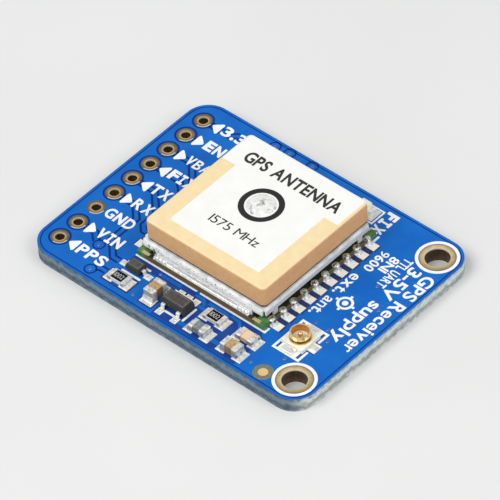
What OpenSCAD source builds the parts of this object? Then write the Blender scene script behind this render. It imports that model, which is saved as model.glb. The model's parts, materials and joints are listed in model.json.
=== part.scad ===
// Satellite positioning receiver on a carrier board: a castellated receiver module under a folded
// shield can, a ceramic patch antenna on top of the can, a coax receptacle and the supply parts.
// The board lies flat, its underside at z = 0 and its centre over the origin. The header row is
// along the -X edge, the mounting holes along the +X edge and the supply parts along the -Y edge.

/* [Board] */
// Length of the board along X
board_l = 34.29; // [34:0.01:45]
// Width of the board along Y
board_w = 25.4; // [24:0.01:40]
// Thickness of the board
board_t = 1.6; // [0.8:0.1:3.2]
// Radius of the board's corners
board_corner_r = 2.54; // [0.5:0.01:4]
// Thickness of the tinned lands on the board's face
land_t = 0.06; // [0.03:0.01:0.12]
// Wall of the metal barrel in a hole
barrel_t = 0.16; // [0.16:0.01:0.22]
// Thickness of the copper let flush into the board's faces
copper_t = 0.07; // [0.03:0.01:0.15]
// Distance of the layout's centre line from the mounting edge
layout_in = 17.145; // [16:0.005:18]

/* [Header row] */
// Number of header holes
header_count = 9; // [2:1:9]
// Distance between header holes
header_pitch = 2.54; // [2:0.01:2.6]
// Distance of the header row from the board's edge
header_inset = 2.03; // [1.5:0.01:4]
// Diameter of a header hole, clear of its plating
header_hole_d = 1.0; // [0.7:0.05:1.2]
// Diameter of the copper ring around a header hole
header_pad_d = 1.83; // [1.5:0.01:2.2]

/* [Mounting holes] */
// Distance between the two mounting holes
mounting_spacing = 20.32; // [18:0.01:20.5]
// Distance of the mounting holes from the board's edge
mounting_inset = 2.54; // [2.2:0.01:3]
// Diameter of a mounting hole, clear of its plating
mounting_hole_d = 2.5; // [2:0.1:3]
// Diameter of the copper ring around a mounting hole
mounting_pad_d = 3.55; // [3.2:0.05:4]

/* [Underside] */
// Diameter of the coin cell's contact in the middle
cell_contact_d = 4; // [2:0.1:8]
// Distance between the centres of the two holder lands
cell_land_span = 15.3; // [10:0.1:20]
// Size of a holder land along X and Y
cell_land_size = [2.5, 5]; // [1:0.1:6]

/* [Receiver module] */
// Place of the module's centre from the layout's centre line and the board's middle
module_pos = [0.27, 0.68]; // [-0.1:0.01:1.2]
// Side of the module's square substrate
substrate_w = 16; // [15:0.1:17.5]
// Thickness of the substrate
substrate_t = 0.6; // [0.4:0.05:1.2]
// Number of castellations on each of the two sides
castellation_count = 10; // [6:1:10]
// Distance between castellations
castellation_pitch = 1.5; // [1.2:0.05:1.6]
// Diameter of a castellation's half hole
castellation_d = 0.6; // [0.4:0.05:0.7]
// Wall of the plating in a castellation
plating_t = 0.05; // [0.02:0.01:0.1]
// Width of the land under a castellation
castellation_land_w = 0.9; // [0.7:0.05:1]
// Reach of a land beyond the substrate
land_reach = 1.13; // [0.8:0.01:1.5]
// Reach of a land under the substrate
land_under = 0.6; // [0.4:0.05:1]
// Width of the plated ring around a half hole, on the substrate's top
pad_ring = 0.1; // [0.05:0.01:0.12]
// Reach of the round solder past a half hole's rim
knuckle_ring = 0.07; // [0.03:0.01:0.12]
// Height of the round solder above the plated ring
knuckle_lap = 0.07; // [0.04:0.01:0.12]
// Radius of the round solder's upper edge
knuckle_edge_r = 0.2; // [0.1:0.01:0.22]
// Leg of the solder fillet at a castellation
castellation_fillet = 0.2; // [0.1:0.01:0.4]

/* [Shield can] */
// Height of the can above the substrate
can_h = 1.3; // [1.05:0.05:2]
// Thickness of the can's sheet
sheet_t = 0.2; // [0.1:0.01:0.3]
// Outer radius of the can's folds
fold_r = 0.4; // [0.35:0.01:0.6]
// Ledge of the substrate left outside the can at the castellated sides
ledge_x = 0.2; // [0.1:0.01:0.5]
// Ledge of the substrate left outside the can at the plain sides
ledge_y = 0.42; // [0.2:0.01:0.8]
// Height of the can's skirt where it stays clear of the substrate
skirt_h = 0.66; // [0.5:0.01:0.9]
// Length of the cut-away at each end of a plain side
corner_cut = 1.6; // [1:0.05:3]
// Relief past the sheet's thickness in the notch at each folded corner
corner_relief = 0.1; // [0.05:0.01:0.2]
// Gap between a can leg and the castellation beside it
leg_gap = 0.15; // [0.05:0.01:0.25]
// Diameter of the holes that the antenna's pin passes through with room
pin_clear_d = 2; // [1.4:0.1:3]
// Leg of the solder fillet along the can's plain sides
can_fillet = 0.38; // [0.2:0.01:0.4]
// Bare length of a plain side at each end of its solder
can_solder_gap = 0.2; // [0.1:0.05:0.5]
// Number of round heaps at each end of that solder
heap_count = 3; // [1:1:5]
// Distance between two heaps
heap_step = 0.42; // [0.2:0.01:0.6]
// Length of a gold pad at the substrate's corners
corner_pad_l = 0.9; // [0.4:0.05:1]
// Width of a gold pad at the substrate's corners
corner_pad_w = 0.36; // [0.2:0.01:0.4]

/* [Pieces in the can] */
// Side of the square receiver chip
receiver_w = 5; // [3:0.5:6]
// Height of the receiver chip
receiver_h = 0.75; // [0.5:0.05:0.8]
// Length and width of the reference oscillator
oscillator_foot = [2.5, 2]; // [1:0.1:3]
// Height of the reference oscillator
oscillator_h = 0.7; // [0.4:0.05:0.8]
// Length and width of the clock crystal
crystal_foot = [3.2, 1.5]; // [1:0.1:4]
// Height of the clock crystal
crystal_h = 0.65; // [0.4:0.05:0.8]
// Length and width of the surface-wave filter
filter_foot = [1.4, 1.1]; // [0.8:0.1:2]
// Height of the surface-wave filter
filter_h = 0.5; // [0.4:0.05:0.8]
// Length and width of the low-noise amplifier
amplifier_foot = [1.5, 1]; // [0.8:0.1:2]
// Height of the low-noise amplifier
amplifier_h = 0.5; // [0.4:0.05:0.8]
// Space between two pieces inside the can
piece_gap = 0.8; // [0.3:0.1:1.5]
// Thickness of a package's lid, and its inset
lid_t = 0.15; // [0.05:0.01:0.2]

/* [Antenna] */
// Side of the square ceramic
antenna_w = 15; // [12:0.1:15.4]
// Thickness of the ceramic
antenna_t = 2.5; // [1.5:0.1:5]
// Radius of the ceramic's upright corners
antenna_corner_r = 0.55; // [0.5:0.05:2]
// Radius of the ceramic's long edges
antenna_edge_r = 0.25; // [0.1:0.05:0.5]
// Offset of the antenna from the module's centre
antenna_offset = [0.12, 0.2]; // [-0.3:0.01:0.3]
// Thickness of the tape that holds the antenna
tape_t = 0.1; // [0.05:0.01:0.3]
// Inset of the tape and the ground film from the ceramic's edge
tape_inset = 0.3; // [0.1:0.05:1]
// Thickness of the metal films on the ceramic
film_t = 0.03; // [0.02:0.01:0.06]
// Width of the radiating film's square
radiator_w = 11.2; // [8:0.1:12]
// Distance of the square's near edge from the ceramic's edge
radiator_margin = 1.5; // [1:0.05:3]
// Width of the strip along the film's far edge
strip_w = 3.98; // [2:0.01:6]
// Radius of the square's trimmed corner
radiator_corner_r = 0.45; // [0.2:0.05:1]
// Offset of the feed from the antenna's centre
feed_offset = [-0.09, 0.76]; // [-0.6:0.01:1.5]
// Diameter of the feed pin's shaft
pin_d = 0.8; // [0.5:0.05:1]
// Gap between the pin and the ceramic around it
pin_gap = 0.15; // [0.05:0.01:0.3]
// Diameter of the pin's head
pin_head_d = 1.3; // [1.2:0.1:2]
// Height of the pin's head
pin_head_h = 0.08; // [0.05:0.01:0.12]
// Diameter of the solder dome over the head
dome_d = 2.95; // [2.3:0.05:3]
// Height of the solder dome
dome_h = 0.34; // [0.3:0.02:0.6]
// Outer diameter of the printed ring around the feed
ring_d = 4.47; // [4.3:0.01:6]
// Width of the printed ring's line
ring_w = 0.58; // [0.2:0.01:0.6]
// Thickness of the printed ring
ring_t = 0.02; // [0.01:0.01:0.05]

/* [Coax receptacle] */
// Distance of the receptacle's centre from the mounting edge
coax_in_x = 5.4; // [4.5:0.01:5.8]
// Distance of the receptacle's centre from the near edge
coax_in_y = 6.64; // [6.2:0.01:9]
// Side of the receptacle's square base
coax_base_w = 2.6; // [2.3:0.05:3]
// Height of the base
coax_base_h = 0.4; // [0.3:0.05:0.6]
// Outer diameter of the shell
coax_shell_d = 2; // [1.8:0.05:2.2]
// Wall of the shell
coax_shell_t = 0.16; // [0.1:0.01:0.25]
// Height of the shell above its land
coax_shell_h = 1.2; // [1:0.05:1.6]
// Depth of the snap groove around the shell
coax_groove = 0.07; // [0.02:0.01:0.08]
// Height of the snap groove
coax_groove_h = 0.25; // [0.1:0.01:0.35]
// Height of the flange under the groove
coax_flange_h = 0.12; // [0.08:0.01:0.2]
// Reach of the shell's flange beyond its wall
coax_flange = 0.1; // [0.05:0.01:0.2]
// Diameter of the centre pin
coax_pin_d = 0.5; // [0.3:0.05:0.6]
// Height of the pin below the shell's rim
coax_pin_drop = 0.12; // [0.05:0.01:0.3]
// Thickness of the shell's feet
coax_foot_t = 0.2; // [0.18:0.01:0.28]
// Thickness of the pin's tail
coax_tail_t = 0.12; // [0.08:0.01:0.16]
// Width of the pin's tail
coax_tail_w = 0.4; // [0.25:0.01:0.5]
// Width of the shell's feet
coax_foot_w = 1.2; // [0.8:0.05:1.6]
// Reach of the feet and of the tail from the receptacle's centre
coax_reach = 1.85; // [1.6:0.05:2]
// Length of a coax land
coax_land_l = 1.05; // [0.8:0.01:1.1]
// Reach of a coax land past the feet and the tail
coax_toe = 0.27; // [0.2:0.01:0.35]
// Bare length of the tail between the base and its solder
coax_tail_bare = 0.08; // [0.04:0.01:0.09]
// Width of the two ground lands
ground_land_w = 2.2; // [1.6:0.05:2.3]
// Width of the signal land
signal_land_w = 1.15; // [0.8:0.05:1.6]

/* [Chip parts] */
// Length of a chip resistor, capacitor, bead or lamp
chip_l = 2; // [1.6:0.05:2.2]
// Width of a chip
chip_w = 1.25; // [1:0.05:1.5]
// Height of the chip resistors
resistor_h = 0.5; // [0.3:0.05:0.8]
// Heights of the tall, the middle and the low capacitor
capacitor_h = [1.25, 1.1, 0.65]; // [0.5:0.05:1.6]
// Height of the ferrite bead
bead_h = 0.9; // [0.5:0.05:1.3]
// Height of the lamp's base and of its lens
lamp_h = [0.35, 0.45]; // [0.2:0.05:0.8]
// Length of an end cap along a capacitor or a bead
cap_l = 0.58; // [0.2:0.01:0.65]
// Length of an end cap along a resistor or a lamp
thin_cap_l = 0.33; // [0.2:0.01:0.6]
// Radius of a capacitor's cap edges
cap_edge_r = 0.12; // [0.05:0.01:0.2]
// Radius of a resistor's or a lamp's cap edges
thin_edge_r = 0.06; // [0.04:0.01:0.1]
// Radius of the bead's bulged ends
bead_edge_r = 0.25; // [0.1:0.01:0.35]
// Thickness of the glaze on a resistor
glaze_t = 0.05; // [0.04:0.01:0.1]
// Margin of the glaze at a resistor's sides
glaze_margin = 0.1; // [0.05:0.01:0.2]
// Length of the pair of lands under a chip, end to end
chip_land_l = 3.07; // [2.6:0.01:3.3]
// Width of the lands under a chip
chip_land_w = 1.5; // [1.3:0.05:1.8]
// Gap between the two lands of a chip
chip_land_gap = 0.95; // [0.6:0.05:1.2]
// Thickness of the thin lip at a solder fillet's ends
solder_lip = 0.05; // [0.03:0.01:0.1]
// Share of a chip's height that its solder climbs
solder_climb = 0.85; // [0.3:0.05:0.95]
// X of the resistor beside the diode, from the layout's centre line as all these are
resistor_a_x = -6.73; // [-7.5:0.01:-5.5]
// Distance of that resistor from the near edge
resistor_a_in = 1.84; // [1:0.01:1.9]
// X of the resistor beside the module
resistor_b_x = 3.76; // [3.5:0.01:4.5]
// Distance of that resistor from the near edge
resistor_b_in = 3.65; // [3.5:0.01:4.2]
// X of the lamp's resistor
lamp_resistor_x = 1.68; // [-3:0.01:1.8]
// Distance of the lamp's resistor from the far edge
lamp_resistor_in = 2.1; // [1:0.01:2.7]
// X of the lamp
lamp_x = 5.05; // [4.9:0.01:9]
// Distance of the lamp from the far edge
lamp_in = 2.08; // [1:0.01:2.7]
// X of the tall capacitor, which stands across the row
capacitor_a_x = -2.77; // [-3.5:0.01:-2.6]
// Distance of the tall capacitor from the near edge
capacitor_a_in = 2.53; // [1.8:0.01:3.2]
// X of the middle capacitor, at the near edge
capacitor_b_x = 7.77; // [7.2:0.01:9]
// Distance of the middle capacitor from the near edge
capacitor_b_in = 1.56; // [1:0.01:1.8]
// X of the low capacitor, beside the module
capacitor_c_x = 7.84; // [7.2:0.01:9]
// Distance of the low capacitor from the near edge
capacitor_c_in = 3.63; // [3.4:0.01:4.2]
// X of the ferrite bead
bead_x = 3.69; // [3.5:0.01:4.3]
// Distance of the ferrite bead from the near edge
bead_in = 1.56; // [1:0.01:1.8]
// X of the fiducial dot, a bare copper target
fiducial_x = 11.7; // [10.8:0.01:12]
// Distance of the fiducial dot from the near edge
fiducial_in = 1.42; // [1:0.01:2]
// Diameter of the fiducial dot
fiducial_d = 1; // [0.5:0.1:1.2]

/* [Leaded parts] */
// X of the regulator
regulator_x = -0.07; // [-0.3:0.01:0.2]
// Distance of the regulator from the near edge
regulator_in = 2.65; // [2.2:0.01:3]
// Length of the regulator's body
regulator_l = 2.9; // [2.7:0.05:3.1]
// Width of the regulator's body
regulator_w = 1.6; // [1.4:0.05:1.8]
// Height of the regulator's body
regulator_h = 1.05; // [0.9:0.05:1.3]
// Distance between the regulator's leads
regulator_pitch = 0.95; // [0.8:0.01:1]
// Width of a regulator lead
regulator_lead_w = 0.4; // [0.3:0.05:0.5]
// X of the diode
diode_x = -6.35; // [-7.5:0.01:-6]
// Distance of the diode from the near edge
diode_in = 3.76; // [3.6:0.01:4.2]
// Length of the diode's body
diode_l = 1.7; // [1.5:0.05:2]
// Width of the diode's body
diode_w = 1.25; // [1:0.05:1.4]
// Height of the diode's body
diode_h = 0.8; // [0.75:0.05:1.1]
// Width of a diode lead
diode_lead_w = 0.35; // [0.2:0.05:0.6]
// Height of a lead's top where it leaves the body
lead_rise = 0.55; // [0.48:0.01:0.7]
// Thickness of a lead
lead_t = 0.12; // [0.08:0.01:0.16]
// Inner radius of a lead's bends
lead_bend_r = 0.08; // [0.04:0.01:0.1]
// Length of a lead's shoulder, from the body to the first bend
lead_shoulder = 0.1; // [0.05:0.01:0.2]
// Length of a lead's foot
lead_foot = 0.24; // [0.15:0.01:0.4]
// Reach of a land beyond a lead's foot
lead_toe = 0.44; // [0.2:0.01:0.5]
// Reach of a land beyond a lead's sides
lead_margin = 0.15; // [0.05:0.01:0.2]
// Slope of a moulded body's sides, as an inset at the top and the bottom
draft = 0.12; // [0.05:0.01:0.2]
// Gap between a moulded body and the lands' level
body_gap = 0.06; // [0.02:0.01:0.15]

/* [Hidden] */
$fn = 48;
nudge = 0.02;
near_y = -board_w / 2;
far_y = board_w / 2;
seat_z = board_t + land_t;
substrate_z = seat_z + substrate_t;
can_z = substrate_z + can_h;
ground_z = can_z + tape_t;
ceramic_z = ground_z + film_t;
radiator_z = ceramic_z + antenna_t;
feed_z = radiator_z + film_t;
can_l = substrate_w - 2 * ledge_x;
can_w = substrate_w - 2 * ledge_y;
castellation_y = [for (i = [0 : castellation_count - 1])
    (i - (castellation_count - 1) / 2) * castellation_pitch];
leg_y = ((castellation_count - 1) / 2 - 0.5) * castellation_pitch;
leg_w = castellation_pitch - castellation_d - 2 * leg_gap;
header_places = [for (i = [0 : header_count - 1])
    [-board_l / 2 + header_inset, (i - (header_count - 1) / 2) * header_pitch]];
mounting_places = [for (side = [-1, 1]) [board_l / 2 - mounting_inset, side * mounting_spacing / 2]];
layout_x = board_l / 2 - layout_in;
module_at = [layout_x + module_pos[0], module_pos[1]];
antenna_pos = module_at + antenna_offset;
feed_pos = antenna_pos + feed_offset;
coax_at = [board_l / 2 - coax_in_x, near_y + coax_in_y];

// A place is X, Y and the turn of the part about Z
resistor_places = [
    [layout_x + resistor_a_x, near_y + resistor_a_in, 0],
    [layout_x + resistor_b_x, near_y + resistor_b_in, 0],
    [layout_x + lamp_resistor_x, far_y - lamp_resistor_in, 0]
];
capacitor_places = [
    [layout_x + capacitor_a_x, near_y + capacitor_a_in, 90],
    [layout_x + capacitor_b_x, near_y + capacitor_b_in, 0],
    [layout_x + capacitor_c_x, near_y + capacitor_c_in, 0]
];
bead_place = [layout_x + bead_x, near_y + bead_in, 0];
lamp_place = [layout_x + lamp_x, far_y - lamp_in, 0];
regulator_place = [layout_x + regulator_x, near_y + regulator_in, 0];
diode_place = [layout_x + diode_x, near_y + diode_in, 0];
fiducial_place = [layout_x + fiducial_x, near_y + fiducial_in, 0];
chip_places = concat(resistor_places, capacitor_places, [bead_place, lamp_place]);

// A lead is its distance along the body, and the side of the body that it leaves
regulator_leads_at = [[-1, -1], [1, -1], [-1, 1], [0, 1], [1, 1]];
lead_reach = lead_shoulder + 2 * lead_bend_r + lead_t + lead_foot;
cap_wall = cap_edge_r / 2;
thin_wall = thin_edge_r / 2;
bead_wall = bead_edge_r / 2;

// Places of the pieces inside the can, from the module's centre
feed_in_module = antenna_offset + feed_offset;
receiver_at = [-receiver_w / 2 - piece_gap, -receiver_w / 2 - piece_gap];
oscillator_at = [oscillator_foot[0] / 2, receiver_at[1]];
crystal_at = [receiver_at[0], crystal_foot[1] / 2];
amplifier_at = feed_in_module + [pin_d / 2 + piece_gap + amplifier_foot[0] / 2, 0];
filter_at = amplifier_at + [(amplifier_foot[0] + filter_foot[0]) / 2 + piece_gap, 0];

module at(place, z) {
    translate([place[0], place[1], z]) rotate([0, 0, place[2]]) children();
}

module both_ends() {
    for (turn = [0, 180]) rotate([0, 0, turn]) children();
}

module rounded_rectangle(l, w, r) {
    square([l - 2 * r, w], center = true);
    square([l, w - 2 * r], center = true);
    for (x = [-1, 1], y = [-1, 1]) translate([x * (l / 2 - r), y * (w / 2 - r)]) circle(r);
}

module plate(l, w, h) {
    translate([-l / 2, -w / 2, 0]) cube([l, w, h]);
}

// A block with rounded upright corners and rounded long edges: two crossing slabs and four posts
module soft_block(l, w, h, corner_r, edge_r) {
    rotate([90, 0, 0]) linear_extrude(w - 2 * corner_r, center = true) soft_profile(l, h, edge_r);
    rotate([90, 0, 90]) linear_extrude(l - 2 * corner_r, center = true) soft_profile(w, h, edge_r);
    for (x = [-1, 1], y = [-1, 1]) {
        translate([x * (l / 2 - corner_r), y * (w / 2 - corner_r), 0]) soft_post(corner_r, h, edge_r);
    }
}

module soft_profile(l, h, edge_r) {
    translate([0, h / 2]) rounded_rectangle(l, h, edge_r);
}

module soft_post(r, h, edge_r) {
    rotate_extrude() intersection() {
        soft_profile(2 * r, h, edge_r);
        square([r, h]);
    }
}

// A small block with every edge rounded: where three rounded bars cross
module eased_block(l, w, h, edge_r) {
    intersection() {
        translate([0, 0, -nudge]) linear_extrude(h + 2 * nudge) rounded_rectangle(l, w, edge_r);
        rotate([90, 0, 0]) linear_extrude(2 * w, center = true) soft_profile(l, h, edge_r);
        rotate([90, 0, 90]) linear_extrude(2 * l, center = true) soft_profile(w, h, edge_r);
    }
}

// A plated hole: a barrel through the board with a copper ring flush in each face
module eyelet(hole_d, pad_d) {
    difference() {
        union() {
            cylinder(d = hole_d + 2 * barrel_t, h = board_t);
            cylinder(d = pad_d, h = copper_t);
            translate([0, 0, board_t - copper_t]) cylinder(d = pad_d, h = copper_t);
        }
        translate([0, 0, -nudge]) cylinder(d = hole_d, h = board_t + 2 * nudge);
    }
}

// The seat of a plated hole in the board
module eyelet_seat(hole_d, pad_d) {
    translate([0, 0, -nudge]) {
        cylinder(d = hole_d + 2 * barrel_t, h = board_t + 2 * nudge);
        cylinder(d = pad_d, h = copper_t + nudge);
        translate([0, 0, board_t - copper_t + nudge]) cylinder(d = pad_d, h = copper_t + nudge);
    }
}

// The concave section of a solder fillet, with a lip of real thickness at both tips
module fillet_section(leg) {
    difference() {
        square(leg);
        translate([leg, leg]) circle(leg - solder_lip);
    }
}

// A fillet on the face x = 0, running along Y
module fillet_run(leg, length) {
    rotate([90, 0, 0]) linear_extrude(length, center = true) fillet_section(leg);
}

// Solder on a land past the face x = 0: a fillet and a thin coat out to the land's end
module toe_solder(bare, leg, width) {
    fillet_run(min(leg, bare - nudge), width);
    translate([0, -width / 2, 0]) cube([bare - nudge, width, solder_lip]);
}

// Solder at both ends of a chip of height h
module chip_solder(h) {
    both_ends() translate([chip_l / 2, 0, 0]) {
        toe_solder((chip_land_l - chip_l) / 2, h * solder_climb, chip_w);
    }
}

// The core of a chip, with room for its end caps all around
module chip_core(h, wall) {
    translate([0, 0, wall]) plate(chip_l - 2 * wall, chip_w - 2 * wall, h - 2 * wall);
}

// The metal at both ends of a chip, wrapped around its core
module end_caps(h, length, edge_r, wall) {
    difference() {
        eased_block(chip_l, chip_w, h, edge_r);
        translate([0, 0, -nudge]) plate(chip_l - 2 * length, 2 * chip_w, h + 2 * nudge);
        chip_core(h, wall);
    }
}

module quarter_ring(r, t) {
    intersection() {
        difference() {
            circle(r + t);
            circle(r);
        }
        square(r + t);
    }
}

// A formed lead that leaves a body at x = 0 along +X, bends down and ends in a foot
module formed_lead(lead_w) {
    bend = lead_t + lead_bend_r;
    rotate([90, 0, 0]) linear_extrude(lead_w, center = true) {
        translate([0, lead_rise - lead_t]) square([lead_shoulder, lead_t]);
        translate([lead_shoulder, lead_rise - bend]) quarter_ring(lead_bend_r, lead_t);
        translate([lead_shoulder + lead_bend_r, bend]) square([lead_t, lead_rise - 2 * bend]);
        translate([lead_shoulder + lead_bend_r + bend, bend]) {
            rotate(180) quarter_ring(lead_bend_r, lead_t);
            translate([0, -bend]) square([lead_foot, lead_t]);
        }
    }
}

// A moulded body, widest at the band that the leads leave
module moulded_body(l, w, h) {
    end_l = l - 2 * draft;
    end_w = w - 2 * draft;
    hull() {
        translate([0, 0, body_gap]) plate(end_l, end_w, nudge);
        translate([0, 0, lead_rise - lead_t]) plate(l, w, lead_t);
        translate([0, 0, body_gap + h - nudge]) plate(end_l, end_w, nudge);
    }
}

module lead_land_shape(lead_w) {
    heel = lead_foot + lead_t;
    width = lead_w + 2 * lead_margin;
    translate([lead_reach - heel, -width / 2, 0]) cube([heel + lead_toe, width, land_t]);
}

module lead_solder(lead_w) {
    translate([lead_reach, 0, 0]) toe_solder(lead_toe, lead_t + solder_lip, lead_w);
}

module at_regulator_leads() {
    for (lead = regulator_leads_at) {
        translate([lead[0] * regulator_pitch, lead[1] * regulator_w / 2, 0]) {
            rotate([0, 0, lead[1] * 90]) children();
        }
    }
}

module at_diode_leads() {
    both_ends() translate([diode_l / 2, 0, 0]) children();
}

module cell_land_shapes() {
    translate([layout_x, 0]) {
        circle(d = cell_contact_d);
        for (side = [-1, 1]) translate([side * cell_land_span / 2, 0]) square(cell_land_size, center = true);
    }
}

module board() {
    color([0.11, 0.43, 0.82]) difference() {
        linear_extrude(board_t) rounded_rectangle(board_l, board_w, board_corner_r);
        for (place = header_places) translate(place) eyelet_seat(header_hole_d, header_pad_d);
        for (place = mounting_places) translate(place) eyelet_seat(mounting_hole_d, mounting_pad_d);
        at(fiducial_place, board_t - copper_t) cylinder(d = fiducial_d, h = copper_t + nudge);
        translate([0, 0, -nudge]) linear_extrude(copper_t + nudge) cell_land_shapes();
    }
}

module header_eyelets() {
    color([0.62, 0.47, 0.24]) for (place = header_places) {
        translate(place) eyelet(header_hole_d, header_pad_d);
    }
}

module mounting_eyelets() {
    color([0.62, 0.47, 0.24]) for (place = mounting_places) {
        translate(place) eyelet(mounting_hole_d, mounting_pad_d);
    }
}

module fiducial_dot() {
    color([0.85, 0.7, 0.42]) at(fiducial_place, board_t - copper_t) {
        cylinder(d = fiducial_d, h = copper_t);
    }
}

module cell_lands() {
    color([0.85, 0.7, 0.42]) linear_extrude(copper_t) cell_land_shapes();
}

module chip_lands() {
    land_l = (chip_land_l - chip_land_gap) / 2;
    color([0.9, 0.89, 0.84]) for (place = chip_places) at(place, board_t) both_ends() {
        translate([chip_land_gap / 2, -chip_land_w / 2, 0]) cube([land_l, chip_land_w, land_t]);
    }
}

module lead_lands() {
    color([0.9, 0.89, 0.84]) {
        at(regulator_place, board_t) at_regulator_leads() lead_land_shape(regulator_lead_w);
        at(diode_place, board_t) at_diode_leads() lead_land_shape(diode_lead_w);
    }
}

module at_module(z) {
    translate([module_at[0], module_at[1], z]) children();
}

// Repeats its children at each castellation, with x = 0 on the substrate's edge
module at_castellations() {
    both_ends() for (y = castellation_y) translate([substrate_w / 2, y, 0]) children();
}

module module_lands() {
    color([0.9, 0.89, 0.84]) at_module(board_t) at_castellations() {
        translate([-land_under, -castellation_land_w / 2, 0]) {
            cube([land_under + land_reach, castellation_land_w, land_t]);
        }
    }
}

module module_substrate() {
    color([0.16, 0.42, 0.17]) at_module(seat_z) difference() {
        plate(substrate_w, substrate_w, substrate_t);
        at_castellations() translate([0, 0, -nudge]) {
            cylinder(d = castellation_d, h = substrate_t + 2 * nudge);
        }
    }
}

// The lining of a half hole, with a ring around it on the substrate's top
module castellation_plating() {
    pad_d = castellation_d + 2 * min(pad_ring, leg_gap - nudge);
    cut_h = substrate_t + film_t + 2 * nudge;
    color([0.85, 0.7, 0.42]) at_module(seat_z) at_castellations() difference() {
        union() {
            cylinder(d = castellation_d, h = substrate_t + film_t);
            translate([0, 0, substrate_t]) cylinder(d = pad_d, h = film_t);
        }
        translate([0, 0, -nudge]) cylinder(d = castellation_d - 2 * plating_t, h = cut_h);
        translate([0, -pad_d, -nudge]) cube([pad_d, 2 * pad_d, cut_h]);
    }
}

// Round solder in front of a half hole and over its ring, flat against the substrate
module solder_knuckle(r, ring_z) {
    post_h = ring_z + knuckle_lap + knuckle_edge_r;
    difference() {
        translate([0, 0, -knuckle_edge_r]) soft_post(r, post_h, knuckle_edge_r);
        translate([0, 0, -2 * knuckle_edge_r]) plate(4 * r, 4 * r, 2 * knuckle_edge_r);
        translate([-2 * r, -2 * r, -nudge]) cube([2 * r, 4 * r, ring_z + nudge]);
    }
}

// Solder that fills a half hole, stands round in front of it and runs down to the land
module module_solder() {
    knuckle_r = castellation_d / 2 + min(knuckle_ring, leg_gap - nudge);
    ring_z = substrate_t + film_t;
    width = castellation_land_w;
    color([0.8, 0.8, 0.78]) at_module(seat_z) at_castellations() {
        cylinder(d = castellation_d - 2 * plating_t, h = ring_z + nudge);
        solder_knuckle(knuckle_r, ring_z);
        intersection() {
            rotate_extrude() translate([knuckle_r - nudge, 0]) fillet_section(castellation_fillet);
            translate([0, -width / 2, 0]) cube(width);
        }
    }
}

module corner_pads() {
    color([0.85, 0.7, 0.42]) at_module(substrate_z) for (x = [-1, 1], y = [-1, 1]) {
        translate([x * (can_l - corner_cut) / 2, y * (substrate_w - ledge_y) / 2, 0]) {
            plate(corner_pad_l, corner_pad_w, film_t);
        }
    }
}

// The can's section across one pair of sides, with its two top folds rounded
module can_section(l, h, r) {
    translate([-l / 2, 0]) square([l, h - r]);
    translate([r - l / 2, 0]) square([l - 2 * r, h]);
    for (x = [-1, 1]) translate([x * (l / 2 - r), h - r]) circle(r);
}

module can_block(l, w, h, r) {
    intersection() {
        rotate([90, 0, 0]) linear_extrude(2 * w, center = true) can_section(l, h, r);
        rotate([90, 0, 90]) linear_extrude(2 * l, center = true) can_section(w, h, r);
    }
}

// What is cut from the sheet's lower edge: both castellated sides but for the legs, and the corners
module can_cutaway() {
    linear_extrude(can_h - skirt_h) both_ends() difference() {
        translate([can_l / 2 - corner_cut, -can_w]) square([2 * corner_cut, 2 * can_w]);
        for (side = [-1, 1]) translate([0, side * leg_y]) square([2 * can_l, leg_w], center = true);
    }
}

module can_corner_notches() {
    notch = 2 * (sheet_t + corner_relief);
    for (x = [-1, 1], y = [-1, 1]) translate([x * can_l / 2, y * can_w / 2, -nudge]) {
        plate(notch, notch, can_h + 2 * nudge);
    }
}

// A sheet folded down on four sides, cut away to clear the castellations, standing on its legs
module shield_can() {
    color([0.78, 0.79, 0.8]) at_module(substrate_z) difference() {
        can_block(can_l, can_w, can_h, fold_r);
        translate([0, 0, -nudge]) {
            can_block(can_l - 2 * sheet_t, can_w - 2 * sheet_t, can_h - sheet_t + nudge, fold_r - sheet_t);
        }
        translate([0, 0, -nudge]) can_cutaway();
        can_corner_notches();
        translate(feed_in_module) cylinder(d = pin_clear_d, h = can_h + nudge);
    }
}

// A round heap of solder between the face x = 0 and the floor
module solder_heap(r) {
    intersection() {
        sphere(r);
        translate([0, -r, 0]) cube([r, 2 * r, r]);
    }
}

// Solder along the can's plain sides, on the substrate's ledge, heaped up at both ends
module can_solder() {
    leg = min(can_fillet, ledge_y - nudge);
    run = can_l - 2 * corner_cut - 2 * can_solder_gap;
    color([0.83, 0.83, 0.82]) at_module(substrate_z) for (turn = [-90, 90]) rotate([0, 0, turn]) {
        translate([can_w / 2, 0, 0]) {
            fillet_run(leg, run);
            for (end = [-1, 1], i = [0 : heap_count - 1]) {
                translate([0, end * (run / 2 - leg - i * heap_step), 0]) solder_heap(leg);
            }
        }
    }
}

module at_piece(place) {
    at_module(substrate_z) translate(place) children();
}

// A ceramic package with a metal lid set in from its edges
module lidded_package(foot, h) {
    plate(foot[0], foot[1], h - lid_t);
    translate([0, 0, h - lid_t]) plate(foot[0] - 2 * lid_t, foot[1] - 2 * lid_t, lid_t);
}

module receiver_chip() {
    color([0.13, 0.13, 0.14]) at_piece(receiver_at) plate(receiver_w, receiver_w, receiver_h);
}

module reference_oscillator() {
    color([0.8, 0.75, 0.6]) at_piece(oscillator_at) lidded_package(oscillator_foot, oscillator_h);
}

module clock_crystal() {
    color([0.8, 0.75, 0.6]) at_piece(crystal_at) lidded_package(crystal_foot, crystal_h);
}

module wave_filter() {
    color([0.35, 0.33, 0.3]) at_piece(filter_at) lidded_package(filter_foot, filter_h);
}

module low_noise_amplifier() {
    color([0.13, 0.13, 0.14]) at_piece(amplifier_at) {
        plate(amplifier_foot[0], amplifier_foot[1], amplifier_h);
    }
}

module at_antenna(z) {
    translate([antenna_pos[0], antenna_pos[1], z]) children();
}

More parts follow.
